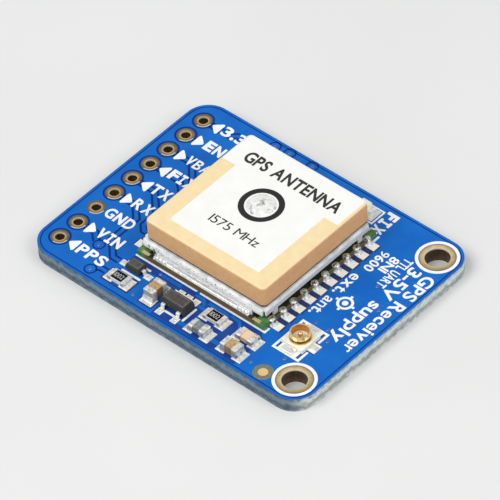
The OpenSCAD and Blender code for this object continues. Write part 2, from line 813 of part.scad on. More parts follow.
// A sheet under the ceramic, open around the feed pin
module antenna_layer(h) {
    side = antenna_w - 2 * tape_inset;
    difference() {
        linear_extrude(h) rounded_rectangle(side, side, antenna_corner_r);
        translate([feed_offset[0], feed_offset[1], -nudge]) cylinder(d = pin_clear_d, h = h + 2 * nudge);
    }
}

module antenna_tape() {
    color([0.12, 0.12, 0.12]) at_antenna(can_z) antenna_layer(tape_t);
}

module antenna_ground() {
    color([0.85, 0.85, 0.83]) at_antenna(ground_z) antenna_layer(film_t);
}

module antenna_ceramic() {
    color([0.92, 0.75, 0.52]) at_antenna(ceramic_z) difference() {
        soft_block(antenna_w, antenna_w, antenna_t, antenna_corner_r, antenna_edge_r);
        translate([feed_offset[0], feed_offset[1], -nudge]) {
            cylinder(d = pin_d + 2 * pin_gap, h = antenna_t + 2 * nudge);
        }
    }
}

// The radiating film: a square with a wider strip along its far edge, inside the ceramic's flat top
module antenna_radiator() {
    flat = antenna_w - 2 * antenna_edge_r;
    near = radiator_margin - antenna_w / 2;
    color([0.97, 0.97, 0.95]) at_antenna(radiator_z) difference() {
        linear_extrude(film_t) intersection() {
            rounded_rectangle(flat, flat, antenna_corner_r - antenna_edge_r);
            union() {
                translate([-radiator_w / 2, near + radiator_corner_r]) square([radiator_w, antenna_w]);
                translate([radiator_corner_r - radiator_w / 2, near]) {
                    square([radiator_w - radiator_corner_r, antenna_w]);
                    translate([0, radiator_corner_r]) circle(radiator_corner_r);
                }
                translate([-antenna_w / 2, flat / 2 - strip_w]) square([antenna_w, antenna_w]);
            }
        }
        translate([feed_offset[0], feed_offset[1], -nudge]) cylinder(d = pin_d, h = film_t + 2 * nudge);
    }
}

module at_feed(z) {
    translate([feed_pos[0], feed_pos[1], z]) children();
}

module feed_ring() {
    color([0.08, 0.08, 0.08]) at_feed(feed_z) difference() {
        cylinder(d = ring_d, h = ring_t);
        translate([0, 0, -nudge]) cylinder(d = ring_d - 2 * ring_w, h = ring_t + 2 * nudge);
    }
}

// A headed pin from the radiating film down through the ceramic and the can to the substrate
module feed_pin() {
    color([0.82, 0.8, 0.75]) {
        at_feed(substrate_z) cylinder(d = pin_d, h = feed_z - substrate_z + nudge);
        at_feed(feed_z) cylinder(d = pin_head_d, h = pin_head_h);
    }
}

// A low dome of solder over the pin's head, cut from a large ball of fine facets
module feed_solder() {
    foot_r = dome_d / 2;
    dome_r = (foot_r * foot_r + dome_h * dome_h) / (2 * dome_h);
    color([0.85, 0.85, 0.83]) at_feed(feed_z) difference() {
        translate([0, 0, dome_h - dome_r]) sphere(dome_r, $fn = 4 * $fn);
        translate([0, 0, -2 * dome_r]) plate(3 * dome_r, 3 * dome_r, 2 * dome_r);
        translate([0, 0, -nudge]) cylinder(d = pin_head_d, h = pin_head_h + nudge);
    }
}

module at_coax(z) {
    translate([coax_at[0], coax_at[1], z]) children();
}

module at_coax_sides() {
    for (turn = [-90, 90]) rotate([0, 0, turn]) children();
}

module coax_land_shape(width) {
    translate([coax_reach + coax_toe - coax_land_l, -width / 2, 0]) cube([coax_land_l, width, land_t]);
}

module coax_lands() {
    color([0.9, 0.89, 0.84]) at_coax(board_t) {
        at_coax_sides() coax_land_shape(ground_land_w);
        coax_land_shape(signal_land_w);
    }
}

// The shell's round wall and its two feet, without the groove, and the pin with its tail
module coax_tube(d, h) {
    translate([0, 0, coax_foot_t - nudge]) cylinder(d = d, h = h - coax_foot_t + nudge);
}

module coax_feet() {
    start = coax_shell_d / 2 - coax_shell_t;
    at_coax_sides() translate([start, -coax_foot_w / 2, 0]) {
        cube([coax_reach - start, coax_foot_w, coax_foot_t]);
    }
}

module coax_tail_shape() {
    translate([0, -coax_tail_w / 2, 0]) cube([coax_reach, coax_tail_w, coax_tail_t]);
}

module coax_base() {
    color([0.93, 0.9, 0.8]) at_coax(seat_z) difference() {
        plate(coax_base_w, coax_base_w, coax_base_h);
        difference() {
            coax_tube(coax_shell_d, coax_base_h + nudge);
            translate([0, 0, coax_tail_t]) cylinder(d = coax_shell_d - 2 * coax_shell_t, h = coax_base_h);
        }
        coax_feet();
        coax_tail_shape();
        cylinder(d = coax_pin_d, h = coax_base_h + nudge);
    }
}

// A turned shell with a snap groove above a flange, on two feet
module coax_shell() {
    groove_z = coax_base_h + coax_flange_h;
    color([0.9, 0.7, 0.33]) at_coax(seat_z) {
        difference() {
            union() {
                coax_tube(coax_shell_d, coax_shell_h);
                translate([0, 0, coax_base_h]) {
                    cylinder(d = coax_shell_d + 2 * coax_flange, h = coax_flange_h);
                }
            }
            translate([0, 0, groove_z]) difference() {
                cylinder(d = 2 * coax_shell_d, h = coax_groove_h);
                cylinder(d = coax_shell_d - 2 * coax_groove, h = coax_groove_h);
            }
            cylinder(d = coax_shell_d - 2 * coax_shell_t, h = coax_shell_h + nudge);
        }
        coax_feet();
    }
}

module coax_pin() {
    shaft_h = coax_shell_h - coax_pin_drop - coax_pin_d / 2;
    color([0.9, 0.7, 0.33]) at_coax(seat_z) {
        cylinder(d = coax_pin_d, h = shaft_h);
        translate([0, 0, shaft_h]) sphere(d = coax_pin_d);
        coax_tail_shape();
    }
}

// Solder around a foot that lies along X: a coat from x = start, and a toe at the land's end
module coax_coat(start, width, height) {
    coat_w = width + 2 * solder_lip;
    difference() {
        translate([start, -coat_w / 2, 0]) {
            cube([coax_reach + solder_lip - start, coat_w, height + solder_lip]);
        }
        translate([0, -width / 2, -nudge]) cube([coax_reach, width, height + nudge]);
    }
    translate([coax_reach, 0, 0]) toe_solder(coax_toe, height, coat_w);
}

module coax_solder() {
    color([0.83, 0.83, 0.82]) at_coax(seat_z) {
        at_coax_sides() coax_coat(coax_base_w / 2 + nudge, coax_foot_w, coax_foot_t);
        coax_coat(coax_base_w / 2 + coax_tail_bare, coax_tail_w, coax_tail_t);
    }
}

module regulator_body() {
    color([0.13, 0.13, 0.13]) at(regulator_place, seat_z) {
        moulded_body(regulator_l, regulator_w, regulator_h);
    }
}

module regulator_leads() {
    color([0.85, 0.85, 0.83]) at(regulator_place, seat_z) at_regulator_leads() formed_lead(regulator_lead_w);
}

module regulator_solder() {
    color([0.83, 0.83, 0.82]) at(regulator_place, seat_z) at_regulator_leads() lead_solder(regulator_lead_w);
}

module diode_body() {
    color([0.13, 0.13, 0.13]) at(diode_place, seat_z) moulded_body(diode_l, diode_w, diode_h);
}

module diode_leads() {
    color([0.85, 0.85, 0.83]) at(diode_place, seat_z) at_diode_leads() formed_lead(diode_lead_w);
}

module diode_solder() {
    color([0.83, 0.83, 0.82]) at(diode_place, seat_z) at_diode_leads() lead_solder(diode_lead_w);
}

module resistor_bodies() {
    color([0.93, 0.92, 0.88]) for (place = resistor_places) at(place, seat_z) {
        chip_core(resistor_h, thin_wall);
    }
}

module resistor_glazes() {
    length = chip_l - 2 * thin_cap_l - 2 * nudge;
    color([0.1, 0.1, 0.1]) for (place = resistor_places) at(place, seat_z + resistor_h - thin_wall) {
        plate(length, chip_w - 2 * glaze_margin, glaze_t);
    }
}

module resistor_caps() {
    color([0.88, 0.87, 0.83]) for (place = resistor_places) at(place, seat_z) {
        end_caps(resistor_h, thin_cap_l, thin_edge_r, thin_wall);
    }
}

module resistor_solder() {
    color([0.83, 0.83, 0.82]) for (place = resistor_places) at(place, seat_z) chip_solder(resistor_h);
}

module capacitor_bodies() {
    color([0.62, 0.43, 0.27]) for (i = [0 : len(capacitor_h) - 1]) at(capacitor_places[i], seat_z) {
        chip_core(capacitor_h[i], cap_wall);
    }
}

module capacitor_caps() {
    color([0.88, 0.87, 0.83]) for (i = [0 : len(capacitor_h) - 1]) at(capacitor_places[i], seat_z) {
        end_caps(capacitor_h[i], cap_l, cap_edge_r, cap_wall);
    }
}

module capacitor_solder() {
    color([0.83, 0.83, 0.82]) for (i = [0 : len(capacitor_h) - 1]) at(capacitor_places[i], seat_z) {
        chip_solder(capacitor_h[i]);
    }
}

module bead_body() {
    color([0.33, 0.35, 0.38]) at(bead_place, seat_z) chip_core(bead_h, bead_wall);
}

module bead_caps() {
    color([0.88, 0.87, 0.83]) at(bead_place, seat_z) end_caps(bead_h, cap_l, bead_edge_r, bead_wall);
}

module bead_solder() {
    color([0.83, 0.83, 0.82]) at(bead_place, seat_z) chip_solder(bead_h);
}

module lamp_base() {
    color([0.9, 0.9, 0.84]) at(lamp_place, seat_z) chip_core(lamp_h[0], thin_wall);
}

// A clear block moulded on the base between the terminals, its ends sloped
module lamp_lens() {
    length = chip_l - 2 * thin_cap_l - 2 * nudge;
    width = chip_w - 2 * thin_wall;
    color([0.9, 0.93, 0.72]) at(lamp_place, seat_z + lamp_h[0] - thin_wall) hull() {
        plate(length, width, nudge);
        translate([0, 0, lamp_h[1]]) plate(length - 2 * draft, width, thin_wall);
    }
}

module lamp_terminals() {
    color([0.88, 0.87, 0.83]) at(lamp_place, seat_z) {
        end_caps(lamp_h[0], thin_cap_l, thin_edge_r, thin_wall);
    }
}

module lamp_solder() {
    color([0.83, 0.83, 0.82]) at(lamp_place, seat_z) chip_solder(lamp_h[0]);
}

board();
header_eyelets();
mounting_eyelets();
fiducial_dot();
cell_lands();
chip_lands();
lead_lands();
coax_lands();
module_lands();
module_substrate();
castellation_plating();
module_solder();
corner_pads();
shield_can();
can_solder();
receiver_chip();
reference_oscillator();
clock_crystal();
wave_filter();
low_noise_amplifier();
antenna_tape();
antenna_ground();
antenna_ceramic();
antenna_radiator();
feed_ring();
feed_pin();
feed_solder();
coax_base();
coax_shell();
coax_pin();
coax_solder();
regulator_body();
regulator_leads();
regulator_solder();
diode_body();
diode_leads();
diode_solder();
resistor_bodies();
resistor_glazes();
resistor_caps();
resistor_solder();
capacitor_bodies();
capacitor_caps();
capacitor_solder();
bead_body();
bead_caps();
bead_solder();
lamp_base();
lamp_lens();
lamp_terminals();
lamp_solder();
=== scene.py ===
# %% [markdown]
# # Dressing a satellite receiver board
#
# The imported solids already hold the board, the receiver module, its can, the antenna and the small parts,
# each in its true place. What is still missing is what a board maker prints and plates. This lesson adds
# the copper that shows through the blue mask, the white legend, the ink on the antenna, and a finish for
# every surface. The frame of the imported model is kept, in metres, so nothing has to be fitted.

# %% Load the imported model
import json
import math

import bmesh
import bpy
from mathutils import Matrix, Quaternion, Vector


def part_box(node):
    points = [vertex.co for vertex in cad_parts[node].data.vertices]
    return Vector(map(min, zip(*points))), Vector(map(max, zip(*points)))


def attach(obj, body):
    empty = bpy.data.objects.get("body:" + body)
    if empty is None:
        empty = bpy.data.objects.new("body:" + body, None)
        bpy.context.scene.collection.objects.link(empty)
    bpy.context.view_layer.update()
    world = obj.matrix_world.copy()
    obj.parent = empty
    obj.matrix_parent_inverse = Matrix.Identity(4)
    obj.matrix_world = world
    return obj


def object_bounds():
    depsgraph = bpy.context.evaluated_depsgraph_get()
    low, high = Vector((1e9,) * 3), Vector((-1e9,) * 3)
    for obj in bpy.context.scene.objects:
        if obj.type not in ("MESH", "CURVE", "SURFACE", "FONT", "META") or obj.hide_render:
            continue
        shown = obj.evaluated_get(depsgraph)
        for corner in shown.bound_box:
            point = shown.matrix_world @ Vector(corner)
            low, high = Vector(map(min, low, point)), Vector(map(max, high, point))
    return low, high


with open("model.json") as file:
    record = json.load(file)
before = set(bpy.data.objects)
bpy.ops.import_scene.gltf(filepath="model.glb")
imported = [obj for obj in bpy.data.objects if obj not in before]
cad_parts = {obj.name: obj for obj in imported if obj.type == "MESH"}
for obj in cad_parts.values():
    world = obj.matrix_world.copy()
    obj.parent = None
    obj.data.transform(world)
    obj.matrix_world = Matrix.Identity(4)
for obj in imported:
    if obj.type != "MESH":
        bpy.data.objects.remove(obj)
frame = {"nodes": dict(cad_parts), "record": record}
cad_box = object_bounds()
nodes = frame["nodes"]
MM = 0.001
print(len(nodes), "solids, box in mm:", [round(side / MM, 2) for side in cad_box[1] - cad_box[0]])

# %% [markdown]
# ## The camera
# The photograph was taken from a corner, half way up, with a long lens, so that edges stay nearly parallel.
# The camera could be placed by eye. Here the angles, the distance and the focal length come from a fit to
# the holes, the edges and the lands, with the header's pitch of 2.54 mm as the scale, so every piece falls
# on its own pixels.

# %% Place the camera
AZIMUTH, ELEVATION, ROLL = (math.radians(angle) for angle in (44.706, 45.035, -4.143))
LOOK_AT = Vector((0.173, -0.180, 1.6)) * MM
DISTANCE = 513.13 * MM
SENSOR, FOCAL_PIXELS, IMAGE_PIXELS = 36.0, 5438.2, 500
CLIP_NEAR, CLIP_FAR = 0.02, 20

back = Vector((
    math.sin(AZIMUTH) * math.cos(ELEVATION),
    -math.cos(AZIMUTH) * math.cos(ELEVATION),
    math.sin(ELEVATION),
))
bpy.ops.object.select_all(action="DESELECT")
bpy.ops.object.camera_add(location=LOOK_AT + back * DISTANCE)
camera = bpy.context.object
camera.rotation_euler = (back.to_track_quat("Z", "Y") @ Quaternion((0, 0, 1), ROLL)).to_euler()
camera.data.sensor_width = SENSOR
camera.data.lens = SENSOR * FOCAL_PIXELS / IMAGE_PIXELS
camera.data.clip_start, camera.data.clip_end = CLIP_NEAR, CLIP_FAR
bpy.context.scene.camera = camera
print("lens", round(camera.data.lens, 1), "mm")

# %% [markdown]
# ## Light and floor
# A studio table: one broad lamp high on the left, a weaker one on the right, a grey room, and a pale floor.
# Small lamps would give hard shadows that the photograph doesn't have. The level is set so that a colour on
# a flat top renders about as it is written.

# %% Light the table
def broad_lamp(name, place, size, power):
    """Adds a square lamp that faces the board."""
    bpy.ops.object.light_add(type="AREA", location=place)
    lamp = bpy.context.object
    lamp.name = name
    lamp.rotation_euler = Vector(place).to_track_quat("Z", "Y").to_euler()
    lamp.data.size, lamp.data.energy = size, power


ROOM_GREY = (0.50, 0.51, 0.52, 1)
broad_lamp("window", place=(-0.13, -0.38, 0.57), size=0.42, power=2.55)
broad_lamp("bounce", place=(0.44, 0.06, 0.44), size=0.36, power=1.15)
world = bpy.data.worlds.new("room")
world.use_nodes = True
world.node_tree.nodes["Background"].inputs["Color"].default_value = ROOM_GREY
bpy.context.scene.world = world
bpy.context.scene.view_settings.view_transform = "Standard"

FLOOR_SIDE = 3.0
bpy.ops.mesh.primitive_plane_add(size=FLOOR_SIDE, location=(0, 0, cad_box[0].z))
floor = bpy.context.object
floor.name = "table"
print("two lamps and a floor", FLOOR_SIDE, "m wide")

# %% [markdown]
# ## Steps that materials share
# A material is a tree of nodes, and the trees here need the same few steps: a colour, a sum, a ramp, a
# blend, and noise. They could be wired one by one. A short function for each step keeps a tree readable.

# %% Define the steps
EVEN = (1, 1, 1)
COARSE, MEDIUM, FINE = 3.0, 4.0, 5.0


def srgb(red, green, blue):
    """Turns a colour as seen on a screen, 0 to 255, into the linear colour that a shader takes."""
    tones = [tone / 255 for tone in (red, green, blue)]
    return [t / 12.92 if t <= 0.04045 else ((t + 0.055) / 1.055) ** 2.4 for t in tones] + [1.0]


def effect(name, inputs, outputs):
    """Starts a node group with the given sockets."""
    group = bpy.data.node_groups.new(name, "ShaderNodeTree")
    for in_out, sockets in (("INPUT", inputs), ("OUTPUT", outputs)):
        for socket, kind in sockets.items():
            group.interface.new_socket(name=socket, in_out=in_out, socket_type="NodeSocket" + kind)
    return group, group.nodes.new("NodeGroupInput").outputs, group.nodes.new("NodeGroupOutput").inputs


def node(tree, kind, links=None, **settings):
    """Adds a shader node, sets its properties, and links or sets its inputs."""
    made = tree.nodes.new("ShaderNode" + kind)
    for key, value in settings.items():
        setattr(made, key, value)
    for socket, value in (links or {}).items():
        if isinstance(value, bpy.types.NodeSocket):
            tree.links.new(value, made.inputs[socket])
        else:
            made.inputs[socket].default_value = value
    return made


def calc(tree, operation, first, second=0.0):
    """Adds a step of arithmetic, and gives its result."""
    return node(tree, "Math", {0: first, 1: second}, operation=operation).outputs[0]


def vector_calc(tree, operation, first, second=(0, 0, 0)):
    """Adds a step of vector arithmetic, and gives its outputs."""
    return node(tree, "VectorMath", {0: first, 1: second}, operation=operation).outputs


def ramp(tree, value, low, high, top=1.0):
    """Maps the span between two values onto nought to the top."""
    span = {"From Min": low, "From Max": high, "To Max": top}
    return node(tree, "MapRange", {"Value": value, **span}).outputs[0]


def mix(tree, mask, first, second):
    """Blends two colours by a mask."""
    return node(tree, "Mix", {0: mask, 6: first, 7: second}, data_type="RGBA").outputs[2]


def spot(tree):
    """Gives the place on a piece, in Object coordinates."""
    return node(tree, "TexCoord").outputs["Object"]


def axes(tree, vector):
    """Splits a vector into its X, Y and Z."""
    return node(tree, "SeparateXYZ", {0: vector}).outputs


def noise(tree, patch, detail, stretch=EVEN):
    """Adds noise on Object coordinates, with patches of the given size."""
    stretched = node(tree, "Mapping", {"Vector": spot(tree), "Scale": stretch}).outputs["Vector"]
    scale = calc(tree, "DIVIDE", 1.0, patch)
    return node(tree, "TexNoise", {"Vector": stretched, "Scale": scale, "Detail": detail}).outputs["Fac"]


print("middle grey in a shader:", [round(tone, 3) for tone in srgb(128, 128, 128)])

# %% [markdown]
# ## Shared effects
# Most finishes here differ in the same three ways: two tones in patches, a roughness that follows the
# patches, and a fine grain. Each effect is built once as a node group with its own inputs. They read Object
# coordinates, so a pattern stays on its piece.

# %% Build the effect groups
NOISE_MIDDLE = 0.5
mottle, given, out = effect(
    "mottle",
    {"Patch": "Float", "Spread": "Float", "Low": "Color", "High": "Color", "Stretch": "Vector"},
    {"Colour": "Color", "Mask": "Float"},
)
patches = noise(mottle, given["Patch"], FINE, given["Stretch"])
low_end = calc(mottle, "SUBTRACT", NOISE_MIDDLE, given["Spread"])
high_end = calc(mottle, "ADD", NOISE_MIDDLE, given["Spread"])
mask = ramp(mottle, patches, low_end, high_end)
mottle.links.new(mix(mottle, mask, given["Low"], given["High"]), out["Colour"])
mottle.links.new(mask, out["Mask"])

grain, given, out = effect("grain", {"Size": "Float", "Depth": "Float"}, {"Normal": "Vector"})
bumps = noise(grain, given["Size"], COARSE)
raised = node(grain, "Bump", {"Distance": given["Depth"], "Height": bumps})
grain.links.new(raised.outputs["Normal"], out["Normal"])
print("effects:", mottle.name, grain.name)

# %% [markdown]
# ## Upright sides
# Both boards, the blue carrier and the green module, are glass cloth in resin. The mask covers only their
# faces, so a cut edge shows the cloth in thin layers. A plated hole, the can, the ceramic and the small
# parts also differ between face and side, partly in their own tone and partly by painted shade: a hole's
# barrel is painted dark, and some sides are painted darker or lighter than their top. The pieces could be
# split. It is simpler to let the material tell them apart by which way the surface points. The sides along X
# and along Y take a painted shade each, because the light falls on the two pairs differently.

# %% Build the flank group
flank, given, out = effect(
    "flank",
    {"Layer": "Float", "Resin": "Color", "Cloth": "Color", "Shade X": "Color", "Shade Y": "Color",
     "Face": "Color"},
    {"Colour": "Color", "Side": "Float"},
)
SIDE_FROM, SIDE_FULL = 0.8, 0.3
TURN_FROM, TURN_FULL = 0.4, 0.9
FRAY_PATCH, FRAY_LAYERS = 0.5, 2.4
facing = axes(flank, node(flank, "NewGeometry").outputs["Normal"])
side_mask = ramp(flank, calc(flank, "ABSOLUTE", facing["Z"]), SIDE_FROM, SIDE_FULL)
layers = calc(flank, "DIVIDE", axes(flank, spot(flank))["Z"], given["Layer"])
fray = ramp(flank, noise(flank, FRAY_PATCH * MM, MEDIUM), 0.0, 1.0, FRAY_LAYERS)
saw = calc(flank, "PINGPONG", calc(flank, "ADD", layers, fray), 1.0)
cloth = mix(flank, saw, given["Resin"], given["Cloth"])
# Painted shade: each side is darkened by the shade for the way it faces, along X or along Y.
turned = ramp(flank, calc(flank, "ABSOLUTE", facing["Y"]), TURN_FROM, TURN_FULL)
side_shade = mix(flank, turned, given["Shade X"], given["Shade Y"])
side_shaded = node(flank, "Mix", {0: 1.0, 6: cloth, 7: side_shade}, data_type="RGBA", blend_type="MULTIPLY").outputs[2]
flank.links.new(mix(flank, side_mask, given["Face"], side_shaded), out["Colour"])
flank.links.new(side_mask, out["Side"])
print("effect:", flank.name)

# %% [markdown]
# ## Rings round holes
# A plated ring is darkest at its outer edge, where the mask laps onto it, and has a painted highlight at
# the rim of its hole. The holes stand in a row, so one group serves all of a row: it wraps the distance along
# the row by the pitch, and turns the distance from the nearest hole into a mask. It also gives that distance,
# and the part of it that points to the board's near corner, for painted highlights and painted shade that lie
# on one side of a ring.

# %% Build the ring group
ring_tone, given, out = effect(
    "ring_tone",
    {"Row": "Float", "First": "Float", "Pitch": "Float", "Inner": "Float", "Outer": "Float",
     "Rim highlight": "Color", "Face": "Color", "Edge": "Color"},
    {"Colour": "Color", "Reach": "Float", "Toward": "Float"},
)
RIM_SHARE, EDGE_SHARE = 0.45, 0.6
TO_CORNER = Vector((1, -1, 0)).normalized()
place = axes(ring_tone, spot(ring_tone))
across = calc(ring_tone, "SUBTRACT", place["X"], given["Row"])
half_pitch = calc(ring_tone, "MULTIPLY", given["Pitch"], 0.5)
shifted = calc(ring_tone, "ADD", calc(ring_tone, "SUBTRACT", place["Y"], given["First"]), half_pitch)
wrapped = calc(ring_tone, "FLOORED_MODULO", shifted, given["Pitch"])
along = calc(ring_tone, "SUBTRACT", wrapped, half_pitch)
flat = node(ring_tone, "CombineXYZ", {0: across, 1: along}).outputs[0]
reach = vector_calc(ring_tone, "LENGTH", flat)["Value"]
span = ramp(ring_tone, reach, given["Inner"], given["Outer"])
# Painted highlight: the rim tone brightens the inner part of the ring.
inner_part = mix(ring_tone, ramp(ring_tone, span, 0.0, RIM_SHARE), given["Rim highlight"], given["Face"])
whole = mix(ring_tone, ramp(ring_tone, span, EDGE_SHARE, 1.0), inner_part, given["Edge"])
toward = vector_calc(ring_tone, "DOT_PRODUCT", flat, TO_CORNER)["Value"]
for socket, value in (("Colour", whole), ("Reach", reach), ("Toward", toward)):
    ring_tone.links.new(value, out[socket])
print("effect:", ring_tone.name)

# %% [markdown]
# ## Finishes
# One function makes a finish from the shared groups: its two tones, the size of its patches, how rough it
# is in each tone, and its grain. Metals differ from paints only in the metallic value. A finish whose sides
# look unlike its faces adds the flank group between the tones and the shader, and plated rings add the ring
# group.

# %% Define a finish
PLAIN = (255, 255, 255)
MICRON = 0.001


def set_inputs(group, lengths=(), colours=()):
    """Sets a group's inputs: lengths in mm, and colours as seen on a screen."""
    for socket, value in dict(lengths).items():
        group.inputs[socket].default_value = value * MM
    for socket, value in dict(colours).items():
        group.inputs[socket].default_value = srgb(*value)


def two_tones(tree, patch, low, high, spread=0.2, stretch=EVEN):
    """Adds the mottle group, and gives its colour and its mask."""
    tones = node(tree, "Group", {"Spread": spread, "Stretch": stretch}, node_tree=mottle)
    set_inputs(tones, {"Patch": patch}, {"Low": low, "High": high})
    return tones.outputs["Colour"], tones.outputs["Mask"]


def finish(name, low, high, patch=0.6, spread=0.18, rough=(0.4, 0.55), metallic=0.0, coat=0.0, gloss=0.5,
           grain_of=(0.08, 3.0), stretch=EVEN, ring_of=None, side_of=None, painted_side_shades=(PLAIN, PLAIN),
           side_rough=0.85):
    """Makes a finish: tones as screen colours, patch and grain sizes in mm, grain depth in micrometres."""
    material = bpy.data.materials.new(name)
    material.use_nodes = True
    tree = material.node_tree
    shader = tree.nodes["Principled BSDF"]
    shader.inputs["Metallic"].default_value = metallic
    shader.inputs["Coat Weight"].default_value = coat
    shader.inputs["Specular IOR Level"].default_value = gloss
    colour, mask = two_tones(tree, patch, low, high, spread, stretch)
    roughness = node(tree, "MapRange", {"Value": mask, "To Min": rough[0], "To Max": rough[1]})
    if ring_of:
        lengths, colours = ring_of
        rings = node(tree, "Group", {"Face": colour}, node_tree=ring_tone)
        set_inputs(rings, lengths, colours)
        colour = rings.outputs["Colour"]
    if side_of:
        layer, resin, cloth = side_of
        sides = node(tree, "Group", {"Face": colour}, node_tree=flank)
        tones = {"Resin": resin, "Cloth": cloth, "Shade X": painted_side_shades[0], "Shade Y": painted_side_shades[1]}
        set_inputs(sides, {"Layer": layer}, tones)
        colour = sides.outputs["Colour"]
        roughness = node(tree, "Mix", {0: sides.outputs["Side"], 2: roughness.outputs[0], 3: side_rough})
    tree.links.new(colour, shader.inputs["Base Color"])
    tree.links.new(roughness.outputs[0], shader.inputs["Roughness"])
    fine = node(tree, "Group", node_tree=grain)
    set_inputs(fine, {"Size": grain_of[0], "Depth": grain_of[1] * MICRON})
    tree.links.new(fine.outputs["Normal"], shader.inputs["Normal"])
    return material


print("a finish is made of", mottle.name, grain.name, flank.name, "and", ring_tone.name)

# %% [markdown]
# ## The finishes of this board
# The tones are screen colours, matched to the photograph. A table could hold them apart from the function.
# Written as calls, each finish states only what differs from a plain one. The record's slots are the keys,
# so that a solid finds its finish by name, and three solids have one of their own.

